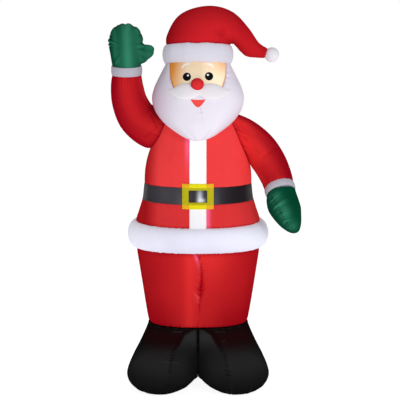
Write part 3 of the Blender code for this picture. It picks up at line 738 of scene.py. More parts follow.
def face_edge(level):
    """The turn at which the face panel ends, at a level."""
    half_width = head_rows(level)[0]
    wide = np.minimum(face_half_width(level), 0.925 * half_width)
    return np.arcsin(clamped((wide / half_width) ** (HEAD_POWER / 2))) / (2 * np.pi)


def head_front(x, level):
    """How far forward the head is at a place across it and a level."""
    half_width, front, back = head_rows(level)
    share = clamped(np.abs(x) / half_width)
    return (front + back) / 2 - (back - front) / 2 * (1 - share**HEAD_POWER) ** (1 / HEAD_POWER)


BACK_COLUMNS, FRONT_COLUMNS = 300, 96
levels = BAND_BOTTOM - BEARD_DROP * np.linspace(0, 1, 120)
low_edge = BAND_BOTTOM - FACE_DROP
column = np.arange(BACK_COLUMNS + FRONT_COLUMNS)
edge = face_edge(levels)[:, None]
level = np.repeat(levels[:, None], len(column), 1)
back_share = clamped(column / BACK_COLUMNS)
front_share = clamped((column - BACK_COLUMNS) / FRONT_COLUMNS)
turn = edge + (1 - 2 * edge) * back_share + 2 * edge * front_share
in_front = column[None, :] > BACK_COLUMNS
arc = np.minimum(np.abs(turn - edge), np.abs(1 - edge - turn)) * 2 * np.pi * HEAD_HALF_WIDTH
beside_face = level > low_edge
away = np.where(beside_face, arc, np.hypot(np.where(in_front, 0, arc), low_edge - level))
pocket = in_front & beside_face
down = (BAND_BOTTOM - level) / BEARD_DROP
around = np.where(turn < 0.5, 0.25 + 0.25 * down, 0.75 - 0.25 * down)
extra = seam_pull(away, 0.006, 0.012) + gathers(around, away, 30, 41, 0.030, 0.0030)
extra = np.where(pocket, -0.035, extra)
from_band = BAND_BOTTOM - level
extra += np.where(pocket, 0, gathers(turn, from_band, 40, 42, 0.035, 0.0030))
head = head_grid(turn, level, extra)
chin_line = ((0.014, -0.31, 1.815), (0.020, -0.32, 1.77), (0.025, -0.327, 1.715))
far, place = along_line(head, chin_line)
chin = (
    (crease(head, chin_line, 0.005, 0.006) + gathers(place, far, 7, 43, 0.026, 0.0022) * (far < 0.12))
    * ~pocket
)
chin += 0.0016 * drift(turn + 0.2 * level, 44, 5, 17) * clamped((low_edge - 0.10 - level) / 0.15) * ~pocket
head = moved_out(head, chin)
mouth_across = np.abs(head[..., 0] - 0.001) / 0.044
mouth_low = 1.806 + 0.045 * mouth_across**1.7
mouth_top = 1.851 + 0.003 * mouth_across**2
mouth = np.where(head[..., 1] < 0, np.maximum(mouth_low - level, level - mouth_top), 0.05)
head_cloth = nylon(
    "white_beard_taffeta", (0.64, 0.60, 0.71), (0.84, 0.80, 0.90), glow=0.08, rough=0.55, deep=0.78,
    tints=(("beard_side_shade", (0.63, 0.42, 0.59)),), marks=(("mouth", (0.92, 0.085, 0.07)),)
)
# painted shade: the beard darker and lavender towards the figure's right, fading above and below the mouth
beard_side_shade = 0.60 * clamped((-0.10 - head[..., 0]) / 0.17) ** 1.3 * dying_out(level - 1.83, 0.12)
sewn(
    "beard_cloth", head, head_cloth, "beard_and_hair",
    marks={"mouth": mouth, "beard_side_shade": beard_side_shade}, rise=np.where(pocket, 0, extra + chin), turned=0.5,
)

levels = np.linspace(low_edge, BAND_BOTTOM + 0.004, 150)
share, level = np.meshgrid(np.linspace(-1, 1, 220), levels)
edge = face_edge(np.minimum(level, BAND_BOTTOM))
turn = edge * share
inside = np.minimum(edge * (1 - np.abs(share)) * 2 * np.pi * HEAD_HALF_WIDTH, level - low_edge)
sunk = -0.006 * clamped(inside / 0.03) ** 0.6
along_edge = np.where(share < 0, 0.25, 0.75) + 0.2 * (level - low_edge) / FACE_DROP
extra = sunk + seam_pull(inside, 0.007, 0.010) + gathers(along_edge, inside, 26, 45, 0.026, 0.0024)
extra += gathers(0.5 + 0.2 * share, BAND_BOTTOM - level, 40, 46, 0.02, 0.0022)
face = head_grid(turn, np.minimum(level, BAND_BOTTOM + 0.004), extra)
x, z = face[..., 0], face[..., 2]
eyes = np.minimum(np.hypot(x + 0.067, z - 1.990), np.hypot(x - 0.068, z - 1.993)) - 0.0255
glint = np.minimum(np.hypot(x + 0.060, z - 1.998), np.hypot(x - 0.061, z - 2.001)) - 0.0062
brows = np.full(x.shape, 1.0)
for side in (-1, 1):
    stroke = (
        (-0.098, 0, 2.043), (-0.089, 0, 2.057), (-0.075, 0, 2.066), (-0.063, 0, 2.069), (-0.052, 0, 2.068)
    )
    flat = np.stack([x * -side, 0 * x, z], -1)
    far, place = along_line(flat, stroke)
    brows = np.minimum(brows, far - 0.0022 - 0.0036 * np.sin(np.pi * clamped(place)) ** 0.8)
# painted shade: the face turns orange towards the figure's right, towards its top and along its edges
side_shade = (
    clamped((np.abs(x + 0.01) - 0.055) / 0.15) * np.where(x < 0, 1.42, 0.05 + 6.0 * np.clip(z - 1.99, 0, 0.1))
)
face_shade_share = side_shade + clamped(0.12 + 1.8 * (z - 2.02)) + 0.5 * clamped(1 - inside / 0.020) ** 1.5
# painted shade: a darker orange line along the face's edge, where it is sunk under the beard
rim_shade = clamped(1.25 - inside / 0.011)
face_lamp = 0.66 + 1.5 * clamped((x - 0.02) / 0.08)
FACE_SHADE, FACE_LIT = (0.78, 0.29, 0.045), (1.0, 0.86, 0.62)
face_cloth = nylon(
    "face_taffeta",
    FACE_LIT,
    glow=0.12,
    rough=0.55,
    tints=(("face_shade_share", FACE_SHADE), ("rim_shade", (0.60, 0.20, 0.04))),
    marks=(("brow", (0.92, 0.88, 0.84)), ("eye", (0.006, 0.006, 0.008)), ("glint", (0.85, 0.86, 0.90))),
)
sewn(
    "face_cloth",
    face,
    face_cloth,
    "face",
    closed=False,
    marks={"eye": eyes, "glint": glint, "brow": brows, "face_shade_share": clamped(face_shade_share), "rim_shade": rim_shade, "lamp": face_lamp},
)

# ---------------------------------------------------------------------------------------------
# Nose and moustache. A red ball sewn to the face, and a flat-fronted cushion of white taffeta
# cut in two lobes, sewn on under it with its edge turned in.
# ---------------------------------------------------------------------------------------------
nose_cloth = nylon("nose_taffeta", (0.46, 0.010, 0.018), (0.74, 0.034, 0.040), glow=0.06, rough=0.45)
moustache_cloth = nylon(
    "moustache_taffeta", (0.76, 0.74, 0.80), (0.88, 0.85, 0.89), glow=0.05, rough=0.55, deep=0.75
)
NOSE_RADIUS, NOSE_LEVEL = 0.040, BAND_BOTTOM - 0.131
NOSE_CENTRE = np.array(
    [-0.003, float(head_front(np.array(0.0), np.array(NOSE_LEVEL))) - NOSE_RADIUS * 0.45, NOSE_LEVEL - 0.006]
)


def ball(centre, radii, rings, sides, count, seed, depth):
    """A sewn ball whose gores meet at the back, with its cloth a little gathered there."""
    turn, tilt = rings_of(sides, np.linspace(0.012, 0.988, rings) * np.pi)
    out = np.stack(
        [np.sin(tilt) * np.sin(2 * np.pi * turn), np.cos(tilt), np.sin(tilt) * np.cos(2 * np.pi * turn)], -1
    )
    radius = 1 + gathers(turn, (np.pi - tilt) * radii[0], count, seed, radii[0] * 0.8, depth) / radii[0]
    return np.array(centre) + out * radius[..., None] * np.array(radii)


nose = ball(NOSE_CENTRE, (NOSE_RADIUS, NOSE_RADIUS * 0.9, NOSE_RADIUS * 0.95), 40, 64, 14, 51, 0.001)
sewn("nose_cloth_piece", nose[:, ::-1], nose_cloth, "nose")

MOUSTACHE_HALF_WIDTH = 0.193
# place across, top, bottom and thickness as shares of the half width
MOUSTACHE = (
    (0.00, -0.041, -0.373, 0.155),
    (0.22, -0.010, -0.487, 0.218),
    (0.41, 0.000, -0.518, 0.238),
    (0.57, -0.031, -0.497, 0.218),
    (0.74, -0.119, -0.420, 0.166),
    (0.90, -0.176, -0.301, 0.093),
    (1.00, -0.197, -0.228, 0.031),
)
turn, share = rings_of(72, np.sin(np.linspace(-np.pi / 2, np.pi / 2, 150)))
top, bottom, thick = np.moveaxis(through(MOUSTACHE, np.abs(share)), -1, 0) * MOUSTACHE_HALF_WIDTH
c, s = np.cos(2 * np.pi * turn), np.sin(2 * np.pi * turn)
level = NOSE_LEVEL + (top + bottom) / 2 + (top - bottom) / 2 * c
puffed = np.sign(s) * np.abs(s) ** 0.75
out = thick * (puffed * np.where(s > 0, 0.40, 0.30) + 0.05)
out += np.where(
    s > 0, gathers(share * 0.5 + 0.5, (1 - np.abs(c)) * (top - bottom) / 2, 26, 54, 0.016, 0.0022), 0
)
x = share * MOUSTACHE_HALF_WIDTH * 1.035 + 0.007
lobes = np.stack([x, head_front(x, level) - out, level], -1)
sewn("moustache_cloth_piece", lobes, moustache_cloth, "moustache")

# ---------------------------------------------------------------------------------------------
# Hat. A white roll for its band, a long red cone that falls over to one side under its own
# weight and folds at the bend, and a white ball sewn to its tip.
# ---------------------------------------------------------------------------------------------
CROWN = 0.205
# across, up and two radii as shares of the crown, and the tilt in degrees
HAT = (
    (0.000, 0.000, 1.000, 0.960, 0.0),
    (0.030, 0.190, 0.995, 0.955, 8.4),
    (0.250, 0.500, 0.910, 0.880, 28.3),
    (0.720, 0.620, 0.705, 0.720, 54.3),
    (1.125, 0.490, 0.535, 0.540, 82.2),
    (1.440, 0.185, 0.390, 0.390, 105.8),
    (1.680, -0.090, 0.290, 0.290, 123.7),
    (1.900, -0.180, 0.210, 0.210, 117.0),
    (2.115, -0.230, 0.150, 0.150, 105.5),
)
HAT_CREASES = (
    (((0.200, -0.110, 2.215), (0.140, -0.165, 2.255), (0.080, -0.190, 2.280)), 0.005, 0.030, 0.5),
    (((0.175, -0.140, 2.240), (0.165, -0.160, 2.285), (0.140, -0.165, 2.330)), 0.003, 0.014, 0.4),
)
turn, share = rings_of(320, (1 - np.cos(np.linspace(0, np.pi, 40))) / 2)
level = BAND_BOTTOM + (BAND_TOP - BAND_BOTTOM) * share
wide = CROWN + 0.021 * clamped(1 - (2 * share - 1) ** 2) ** 0.6
x, y = round_about(turn)
roll = np.stack([x * wide, y * wide * 0.96, level], -1)
roll_away = np.minimum(runs(roll), runs(roll)[-1] - runs(roll))
roll_rise = gathers(turn, roll_away, 54, 61, 0.022, 0.0015) + 0.0009 * drift(turn, 62, 4, 18)
roll = moved_out(roll, roll_rise)
band_cloth = nylon(
    "white_band_taffeta", (0.68, 0.65, 0.76), (0.66, 0.65, 0.74), glow=0.10, rough=0.5, deep=0.75
)
roll_lamp = lamp_light(roll) + 0.8 * clamped((-roll[..., 0] - 0.09) / 0.10)
sewn("hat_band_cloth", roll, band_cloth, "hat_band", marks={"lamp": roll_lamp})

order = np.linspace(0, 8, 168)
row = through(numbered(HAT), order)
turn = np.broadcast_to(np.arange(256) / 256, (168, 256))
x, y = round_about(turn)
x, y = x * row[:, 2:3] * CROWN, y * row[:, 3:4] * CROWN
tilt = np.radians(row[:, 4:5])
cone = np.stack(
    [row[:, 0:1] * CROWN + x * np.cos(tilt), y, row[:, 1:2] * CROWN + BAND_TOP - x * np.sin(tilt)], -1
)
run = runs(cone)
order_grid = np.broadcast_to(order[:, None], turn.shape)
under = clamped(np.sin(2 * np.pi * turn)) ** 2
bend = dying_out(order_grid - 2.1, 1.2)
folds = np.abs(np.sin(np.pi * (order_grid * 2.2 + 0.6 * drift(turn, 63, 1, 5)))) ** 0.7 - 0.6
hat_rise = (
    gathers(turn, run, 48, 64, 0.05, 0.0022)
    + seam_pull(run, 0.005)
    + 0.0055 * folds * bend * under
    + gathers(turn, run[-1] - run, 16, 65, 0.04, 0.0030)
)
for line, depth, width, ends in HAT_CREASES:
    hat_rise += crease(cone, line, depth, width, ends)
cone = moved_out(cone, hat_rise)
hat_lamp = (
    lamp_light(cone) * (0.65 + 0.35 * np.abs(outward(cone)[..., 1]) ** 1.5)
    + 0.35 * clamped((cone[..., 0] - 0.27) / 0.10)
)
red_hat = nylon(
    "red_hat_taffeta", (0.34, 0.001, 0.008), (0.56, 0.014, 0.020), glow=0.14, rough=0.48, deep=0.62
)
sewn("hat_cloth", cone, red_hat, "hat", marks={"lamp": hat_lamp}, rise=hat_rise)

POMPOM_RADIUS = 0.047
tip = np.array([HAT[-1][0] * CROWN, 0.0, HAT[-1][1] * CROWN + BAND_TOP])
heading = np.array([math.sin(math.radians(HAT[-1][4])), 0.0, math.cos(math.radians(HAT[-1][4]))])
bobble = ball(tip + heading * POMPOM_RADIUS * 0.85, (POMPOM_RADIUS,) * 3, 44, 72, 12, 66, 0.0010)
pompom_white = nylon("white_pompom_taffeta", (0.96, 0.94, 1.0), glow=0.0, crinkle=0.0, deep=0.85)
sewn("pompom_cloth", bobble[:, ::-1], pompom_white, "pompom")

# ---------------------------------------------------------------------------------------------
# Sleeves and cuffs. Tapered tubes of red taffeta sewn into the coat, one raised and one hanging,
# each with a short white band at the wrist.
# ---------------------------------------------------------------------------------------------
SHOULDER = 1.671
# place from the shoulder's middle, radius
RAISED_SLEEVE = (
    ((-0.175, 0.000, -0.050), 0.128),
    ((-0.290, -0.005, -0.008), 0.133),
    ((-0.358, -0.010, 0.036), 0.130),
    ((-0.404, -0.020, 0.086), 0.122),
    ((-0.438, -0.040, 0.170), 0.112),
    ((-0.450, -0.058, 0.256), 0.103),
    ((-0.449, -0.076, 0.338), 0.092),
)
HANGING_SLEEVE = (
    ((0.155, 0.000, 0.000), 0.120),
    ((0.257, 0.000, -0.033), 0.119),
    ((0.326, -0.018, -0.072), 0.118),
    ((0.397, -0.050, -0.134), 0.115),
    ((0.454, -0.096, -0.212), 0.108),
    ((0.491, -0.152, -0.292), 0.100),
    ((0.509, -0.202, -0.357), 0.094),
)
CUFF_LENGTHS, CUFF_RADIUS = {"right": 0.056, "left": 0.044}, 0.093


def arm_places(stations, steps):
    """(places, directions, radii) down an arm at this many steps to each of its spans."""
    rows = numbered([(*offset, radius) for offset, radius in stations])
    row = through(rows, np.linspace(0, len(rows) - 1, (len(rows) - 1) * steps + 1))
    places = row[:, :3] + np.array([0, 0, SHOULDER])
    heading = np.gradient(places, axis=0)
    return places, heading / np.linalg.norm(heading, axis=1, keepdims=True), row[:, 3]


def square_to(heading):
    """Two directions square to each heading, the second kept near the Y axis."""
    across = np.cross(np.array([0.0, 1.0, 0.0]), heading)
    across /= np.linalg.norm(across, axis=-1, keepdims=True)
    return across, np.cross(heading, across)


def tube(places, heading, wide, deep, columns):
    """Rings of points round a line of places."""
    across, fore = square_to(heading)
    angle = 2 * np.pi * np.arange(columns) / columns
    return (
        places[:, None]
        + across[:, None] * (wide[:, None] * np.cos(angle))[..., None]
        + fore[:, None] * (deep[:, None] * np.sin(angle))[..., None]
    )


def out_of_coat(points):
    """How far the points are outside the coat, a little below zero inside it."""
    level = np.clip(points[..., 2], BELT_TOP, BELT_TOP + CHEST_HEIGHT * 0.97)
    half_width = CHEST_HALF_WIDTH * through(CHEST, (level - BELT_TOP) / CHEST_HEIGHT)[..., 0]
    return (np.hypot(points[..., 0], points[..., 1] / CHEST_DEPTH_SHARE) / half_width - 1) * half_width


SLEEVE_FOLDS = {
    "right": (
        (((-0.300, -0.105, 1.770), (-0.275, -0.125, 1.720), (-0.252, -0.133, 1.670)), 0.004, 0.008),
        (((-0.350, -0.120, 1.600), (-0.300, -0.135, 1.640), (-0.262, -0.135, 1.690)), 0.002, 0.008),
    ),
    "left": (
        (((0.282, -0.126, 1.626), (0.330, -0.155, 1.570), (0.383, -0.172, 1.515)), 0.004, 0.007),
        (((0.401, -0.183, 1.497), (0.450, -0.170, 1.525), (0.500, -0.134, 1.557)), 0.005, 0.008),
        (((0.330, -0.150, 1.560), (0.360, -0.165, 1.545), (0.390, -0.180, 1.545)), 0.002, 0.007),
    ),
}
red_sleeve = nylon(
    "red_sleeve_taffeta",
    (0.38, 0.001, 0.012),
    (0.64, 0.022, 0.024),
    glow=0.16,
    rough=0.48,
    deep=0.62,
    crest_highlight=(0.66, 0.030, 0.030),
)
cuff_cloth = nylon("white_cuff_taffeta", (0.49, 0.46, 0.55), (0.66, 0.65, 0.72), glow=0.08, rough=0.5)
CHOSEN = {"right": RAISED_SLEEVE, "left": HANGING_SLEEVE}
wrists = {}
for name, stations in CHOSEN.items():
    places, heading, radius = arm_places(stations, 24)
    sleeve = tube(places, heading, radius, radius, 160)
    turn = np.broadcast_to(np.arange(160) / 160, sleeve.shape[:2])
    outside = out_of_coat(sleeve)
    run = runs(sleeve)
    to_cuff = run[-1] - run
    armhole = np.maximum(outside, 0)
    sleeve_rise = (
        seam_pull(armhole, 0.010, 0.016)
        + gathers(turn, armhole, 22, 71, 0.040, 0.0028)
        + gathers(turn, to_cuff, 26, 72, 0.035, 0.0024)
        + seam_pull(to_cuff, 0.003)
        + 0.0022 * drift(turn + 0.2 * run, 73, 1, 5)
    )
    for line, depth, width in SLEEVE_FOLDS[name]:
        sleeve_rise += crease(sleeve, line, depth, width)
    sleeve = moved_out(sleeve, sleeve_rise)
    square_on = np.abs(outward(sleeve)[..., 1])
    near_coat = dying_out(outside, 0.10)
    middle, upper_end = (0.62, 0.20) if name == "right" else (1.10, 1.25)
    towards_coat = clamped(outward(sleeve)[..., 0] * (1 if name == "right" else -1))
    lamp = middle * square_on**4 + upper_end * near_coat * square_on + 0.22 * towards_coat
    sewn(
        name + "_sleeve_cloth", sleeve, red_sleeve, name + "_sleeve",
        marks={"lamp": lamp}, rise=sleeve_rise,
    )
    place, along = places[-1], heading[-1]
    wrists[name] = (place, along)
    share = np.linspace(0, 1, 18)
    places = place + along * (CUFF_LENGTHS[name] * share)[:, None]
    radius = CUFF_RADIUS + 0.004 * np.sin(np.pi * share) ** 0.7
    cuff = tube(places, np.repeat(along[None], 18, 0), radius, radius, 160)
    turn = np.broadcast_to(np.arange(160) / 160, cuff.shape[:2])
    near = np.minimum(runs(cuff), runs(cuff)[-1] - runs(cuff))
    cuff = moved_out(cuff, gathers(turn, near, 24, 75, 0.020, 0.0018))
    sewn(name + "_cuff_cloth", cuff, cuff_cloth, name + "_cuff")

# ---------------------------------------------------------------------------------------------
# Mittens. Each is two panels of green taffeta sewn together round their outline, palm and thumb
# in one. The air is simulated: it blows the cloth up between the wrist and the seam, and the
# seam's puckers and scallops are laid over the blown cloth.
# ---------------------------------------------------------------------------------------------
MITTEN_LENGTH = 0.258
# the way the hand points, its bend, its roll in degrees
HANDS = {
    "right": ((0.010, -0.20, 0.98), (0.0, 0.0, 0.0), 0.0),
    "left": ((0.10, -0.36, -0.93), (0.21, 0.0, 0.0), 90.0),
}
# place along the hand, then width and depth as shares of the cuff
MITTEN = (
    (0.00, 0.99, 0.98),
    (0.22, 1.05, 1.07),
    (0.42, 1.13, 1.08),
    (0.60, 1.16, 0.93),
    (0.76, 1.06, 0.75),
    (0.89, 0.83, 0.52),
    (0.97, 0.52, 0.30),
    (1.00, 0.22, 0.12),
)
# across the hand, along it, width and depth, all as shares of the cuff
THUMB = (
    (0.30, 0.80, 0.74, 0.60),
    (0.85, 0.78, 0.70, 0.55),
    (1.25, 0.82, 0.60, 0.46),
    (1.60, 0.95, 0.44, 0.33),
    (1.83, 1.01, 0.25, 0.18),
    (1.91, 1.03, 0.09, 0.06),
)
MITTEN_GROWTH, MITTEN_CAP, MITTEN_MESH, LAST_MOMENT = 0.12, 0.007, 0.0045, 20
MITTEN_START = {"right": -0.03, "left": -0.07}
MITTEN_SEAM = (
    (0.433, -0.269, 1.282), (0.454, -0.309, 1.256), (0.487, -0.352, 1.213), (0.509, -0.378, 1.153),
    (0.552, -0.382, 1.089),
)
MITTEN_LIGHT = (
    (0.485, -0.330, 1.262), (0.517, -0.365, 1.200), (0.540, -0.382, 1.140), (0.568, -0.375, 1.095)
)
green_cloth = nylon(
    "green_taffeta",
    (0.002, 0.072, 0.034),
    (0.032, 0.220, 0.130),
    glow=0.04,
    rough=0.45,
    crest_highlight=(0.036, 0.225, 0.138),
)


def points_of(mesh):
    """Where a mesh's points are."""
    flat = np.zeros(len(mesh.vertices) * 3)
    mesh.vertices.foreach_get("co", flat)
    return flat.reshape(-1, 3)


def finished(thing):
    """A new mesh with what an object's modifiers make of it."""
    bpy.context.view_layer.update()
    return bpy.data.meshes.new_from_object(thing.evaluated_get(bpy.context.evaluated_depsgraph_get()))


def limb(centres, first, second, radii, columns):
    """Rings round a line of centres, their radii along two directions as shares of the cuff's."""
    angle = 2 * np.pi * np.arange(columns) / columns
    return centres[:, None] + CUFF_RADIUS * (
        first * (radii[:, :1] * np.cos(angle))[..., None] + second * (radii[:, 1:] * np.sin(angle))[..., None]
    )


def raw_object(name, grid):
    """A closed mesh of a grid, before it is joined to another."""
    rows, columns = grid.shape[:2]
    number = np.arange(rows * columns).reshape(rows, columns)
    beside = np.roll(number, -1, 1)
    faces = np.stack([number[:-1], beside[:-1], beside[1:], number[1:]], -1).reshape(-1, 4).tolist()
    faces += [number[0][::-1].tolist(), number[-1].tolist()]
    mesh = bpy.data.meshes.new(name)
    mesh.from_pydata(grid.reshape(-1, 3).tolist(), [], faces)
    if signed_volume(grid.reshape(-1, 3), faces[: -2]) < 0:
        mesh.flip_normals()
    return linked(name, mesh)


def blown_up(mesh, held, gathered, growth, cap):
    """Where a mesh's points go when its cloth is blown up.

    held is how firmly each point is sewn in place, gathered is where the cloth is cut too large,
    by growth at the most, and no point moves further than cap."""
    start = points_of(mesh)
    trial = linked("trial", mesh.copy())
    for group, weights in (("held", held), ("gathered", gathered)):
        filled = trial.vertex_groups.new(name=group)
        for i in np.flatnonzero(weights > 0.01):
            filled.add([int(i)], float(weights[i]), "REPLACE")
    blown = trial.modifiers.new("blown_up", "CLOTH")
    blown.settings.quality, blown.settings.mass = 6, 0.12
    blown.settings.tension_stiffness = blown.settings.compression_stiffness = 12.0
    blown.settings.bending_stiffness = 0.006
    blown.settings.shrink_min, blown.settings.shrink_max = 0.0, -growth
    blown.settings.vertex_group_shrink = "gathered"
    blown.settings.use_pressure, blown.settings.uniform_pressure_force = True, 4.0
    blown.settings.effector_weights.gravity = 0.0
    blown.settings.vertex_group_mass = "held"
    blown.collision_settings.use_collision = False
    blown.point_cache.frame_start, blown.point_cache.frame_end = 1, LAST_MOMENT
    for moment in range(1, LAST_MOMENT + 1):
        bpy.context.scene.frame_set(moment)
    evaluated = trial.evaluated_get(bpy.context.evaluated_depsgraph_get())
    moved = points_of(evaluated.data) - start
    bpy.data.objects.remove(trial, do_unlink=True)
    bpy.context.scene.frame_set(1)
    far = np.linalg.norm(moved, axis=1, keepdims=True)
    return start + moved * np.minimum(1, cap / np.maximum(far, 1e-9))


for name, (direction, bend, roll) in HANDS.items():
    place, arm = wrists[name]
    direction = np.array(direction) / np.linalg.norm(direction)
    across, fore = square_to(direction)
    turned = Matrix.Rotation(math.radians(roll), 3, Vector(direction)) @ Vector(across)
    across = np.array(turned)
    fore = np.cross(direction, across)
    base = place + arm * CUFF_LENGTHS[name]
    stations = [(-1, MITTEN_START[name], *MITTEN[0][1:])] + numbered(MITTEN)
    rows = through(stations, np.linspace(-1, 7, 56))
    centres = base + (direction * rows[:, :1] + np.array(bend) * rows[:, :1] ** 2) * MITTEN_LENGTH
    palm = limb(centres, across, fore, rows[:, 1:3], 72)
    rows = through(numbered(THUMB), np.linspace(0, 5, 30))
    centres = base + CUFF_RADIUS * (across * rows[:, :1] + direction * rows[:, 1:2])
    thumb = limb(centres, direction, fore, rows[:, 2:4], 40)
    hand, digit = raw_object("palm", palm), raw_object("thumb", thumb)
    joined = hand.modifiers.new("join", "BOOLEAN")
    joined.operation, joined.solver, joined.object = "UNION", "EXACT", digit
    even = hand.modifiers.new("even", "REMESH")
    even.mode, even.voxel_size = "VOXEL", MITTEN_MESH
    soften = hand.modifiers.new("soften", "SMOOTH")
    soften.factor, soften.iterations = 0.5, 6
    mesh = finished(hand)
    for spare in (hand, digit):
        bpy.data.objects.remove(spare, do_unlink=True)
    points = points_of(mesh)
    normals = np.array([vertex.normal[:] for vertex in mesh.vertices])
    flat = points - (base + direction * 0.5 * MITTEN_LENGTH)
    x, y, off = flat @ across, flat @ direction, flat @ fore
    u = (np.arctan2(y, x) / (2 * np.pi)) % 1.0
    from_wrist = (points - base) @ arm
    edge_side = clamped(from_wrist / 0.03)
    if name == "left":
        seam_away, u = along_line(points, MITTEN_SEAM)
        rise = (
            gathers(u - 3.0 * (u - 0.45) * seam_away, seam_away, 17, 86, 0.024, 0.0120)
            + crease(points, MITTEN_SEAM, 0.004, 0.005, 0.05)
        )
        patches = 0.62 + 0.38 * np.cos(2 * np.pi * (2.0 * u - 0.30))
        bright = (
            0.85 * dying_out(along_line(points, MITTEN_LIGHT)[0], 0.032) * patches
            + 0.20 * dying_out(seam_away, 0.05)
        )
    else:
        seam_away = np.abs(off)
        rise = gathers(u, off, 13, 81, 0.045, 0.0062) + seam_pull(off, 0.003, 0.010)
        pleats = 0.5 + 0.5 * np.sin(2 * np.pi * (x / 0.075 + 0.05 + 0.8 * y))
        rise += 0.0022 * pleats * clamped(np.abs(off) / 0.03)
        between = dying_out((13 * u + 0.2) % 1.0 - 0.5, 0.15)
        rise -= 0.0042 * between * dying_out(off, 0.035) * clamped(y / 0.05)
        bright = dying_out(x - 0.022, 0.060) * (0.70 + 0.25 * pleats) + 0.5 * clamped((x - 0.10) / 0.03)
    rise *= edge_side
    rise += (
        gathers((np.arctan2(off, x) / (2 * np.pi)) % 1.0, from_wrist, 22, 83, 0.030, 0.0026)
        + seam_pull(from_wrist, 0.003)
    )
    held = clamped(1.4 - from_wrist / 0.012) + dying_out(seam_away, 0.004)
    gathered = dying_out(seam_away, 0.035) + 0.7 * dying_out(from_wrist, 0.035)
    blown = blown_up(mesh, clamped(held), clamped(gathered), MITTEN_GROWTH, MITTEN_CAP)
    points = blown + normals * rise[:, None]
    from_wrist = (points - base) @ arm
    points = np.where((from_wrist < 0)[:, None], points - arm * from_wrist[:, None], points)
    mesh.vertices.foreach_set("co", (points + MIDDLE).ravel())
    mesh.update()
    uv = mesh.uv_layers.new(name="UVMap")
    corner = np.zeros(len(mesh.loops), int)
    mesh.loops.foreach_get("vertex_index", corner)
    uv.data.foreach_set("uv", np.stack([x, y], -1)[corner].astype(np.float32).ravel())
    # painted light where the lamps shine through, painted shade in the folds and painted highlight on their
    # crests
    carried(mesh, {"lamp": bright, "fold": fold_shade_share(rise), "crest_highlight": crest_highlight_share(rise)})
    mesh.shade_smooth()
    placed(name + "_mitten_cloth", mesh, green_cloth, name + "_mitten")

# ---------------------------------------------------------------------------------------------
# Placket and buckle. A flat strip of white taffeta down the front of the coat with its edges
# turned under, and a frame of thin yellow cloth sewn over the belt.
# ---------------------------------------------------------------------------------------------
placket_cloth = nylon("white_placket_taffeta", (0.88, 0.87, 0.92), (0.97, 0.97, 1.0), glow=0.22, rough=0.5)
PLACKET_HALF_WIDTH = 0.052


def on_front(x, level, height):
    """Places on the body's front, this much out of it."""
    x, level = np.broadcast_arrays(np.asarray(x, float), np.asarray(level, float))
    return np.stack([x, body_front(x, level, height), level], -1)


def strip(name, low, high, rows, node_name, cloth_used):
    """A length of the white strip, thin, rounded over at its long edges."""
    share, level = np.meshgrid(np.linspace(-1, 1, 48), np.linspace(low, high, rows))
    x = share * PLACKET_HALF_WIDTH
    edge = (1 - np.abs(share)) * PLACKET_HALF_WIDTH
    up = (level - low) / (high - low)
    height = 0.0010 + 0.0030 * clamped(edge / 0.006) ** 0.5
    height += gathers(up * (high - low) + 0.5 * (share > 0), edge, 40, 91, 0.010, 0.0012)
    closed = np.concatenate([on_front(x, level, height), on_front(x, level, -0.0012)[:, ::-1]], 1)
    piece = sewn(name, closed, cloth_used, node_name)
    return piece


strip("placket_low_cloth", HEM_TOP - 0.006, BELT_BOTTOM, 40, "placket_low", placket_cloth)
strip("placket_high_cloth", BELT_TOP, 1.655, 90, "placket_high", placket_cloth)

BUCKLE_HALF_WIDTH, BUCKLE_HALF_HEIGHT, BUCKLE_BAR = 0.0975, 0.0775, 0.041
BUCKLE_LEVEL = (BELT_BOTTOM + BELT_TOP) / 2
corner_turns = np.linspace(0, 4, 4 * 28 + 1)[:-1]


def square_about(half_width, half_height):
    """Places round a rectangle, as many to each of its sides."""
    side, t = np.floor(corner_turns).astype(int), (corner_turns % 1.0) * 2 - 1
    x = np.choose(side, [t, np.ones_like(t), -t, -np.ones_like(t)]) * half_width
    z = np.choose(side, [-np.ones_like(t), t, np.ones_like(t), -t]) * half_height
    return x, z


rings = []
for across, height in (
    (0.0, 0.0048),
    (0.0, 0.0072),
    (0.08, 0.0088),
    (0.3, 0.0098),
    (0.5, 0.0101),
    (0.7, 0.0098),
    (0.92, 0.0088),
    (1.0, 0.0072),
    (1.0, 0.0048),
    (0.0, 0.0048),
):
    bar = BUCKLE_BAR * (1 - across)
    x, z = square_about(BUCKLE_HALF_WIDTH - bar, BUCKLE_HALF_HEIGHT - bar)
    ripple = 0.0007 * drift(corner_turns / 4, 95, 9, 40)
    rings.append(on_front(x, BUCKLE_LEVEL + z, height + ripple * (height > 0.005)))
frame_grid = np.array(rings)
beside_strip = PLACKET_HALF_WIDTH - np.abs(frame_grid[..., 0])
beyond_belt = np.abs(frame_grid[..., 2] - BUCKLE_LEVEL) - (BELT_TOP - BELT_BOTTOM) / 2
yellow_cloth = nylon(
    "yellow_taffeta",
    (0.92, 0.82, 0.004),
    glow=0.0,
    rough=0.4,
    gloss=0.12,
    marks=(("over_coat", (0.88, 0.46, 0.010)), ("over_belt", (0.52, 0.46, 0.004))),
)
buckle = sewn(
    "buckle_cloth",
    frame_grid,
    yellow_cloth,
    "buckle",
    capped=False,
    marks={"over_coat": np.maximum(beside_strip, -beyond_belt), "over_belt": beyond_belt},
)

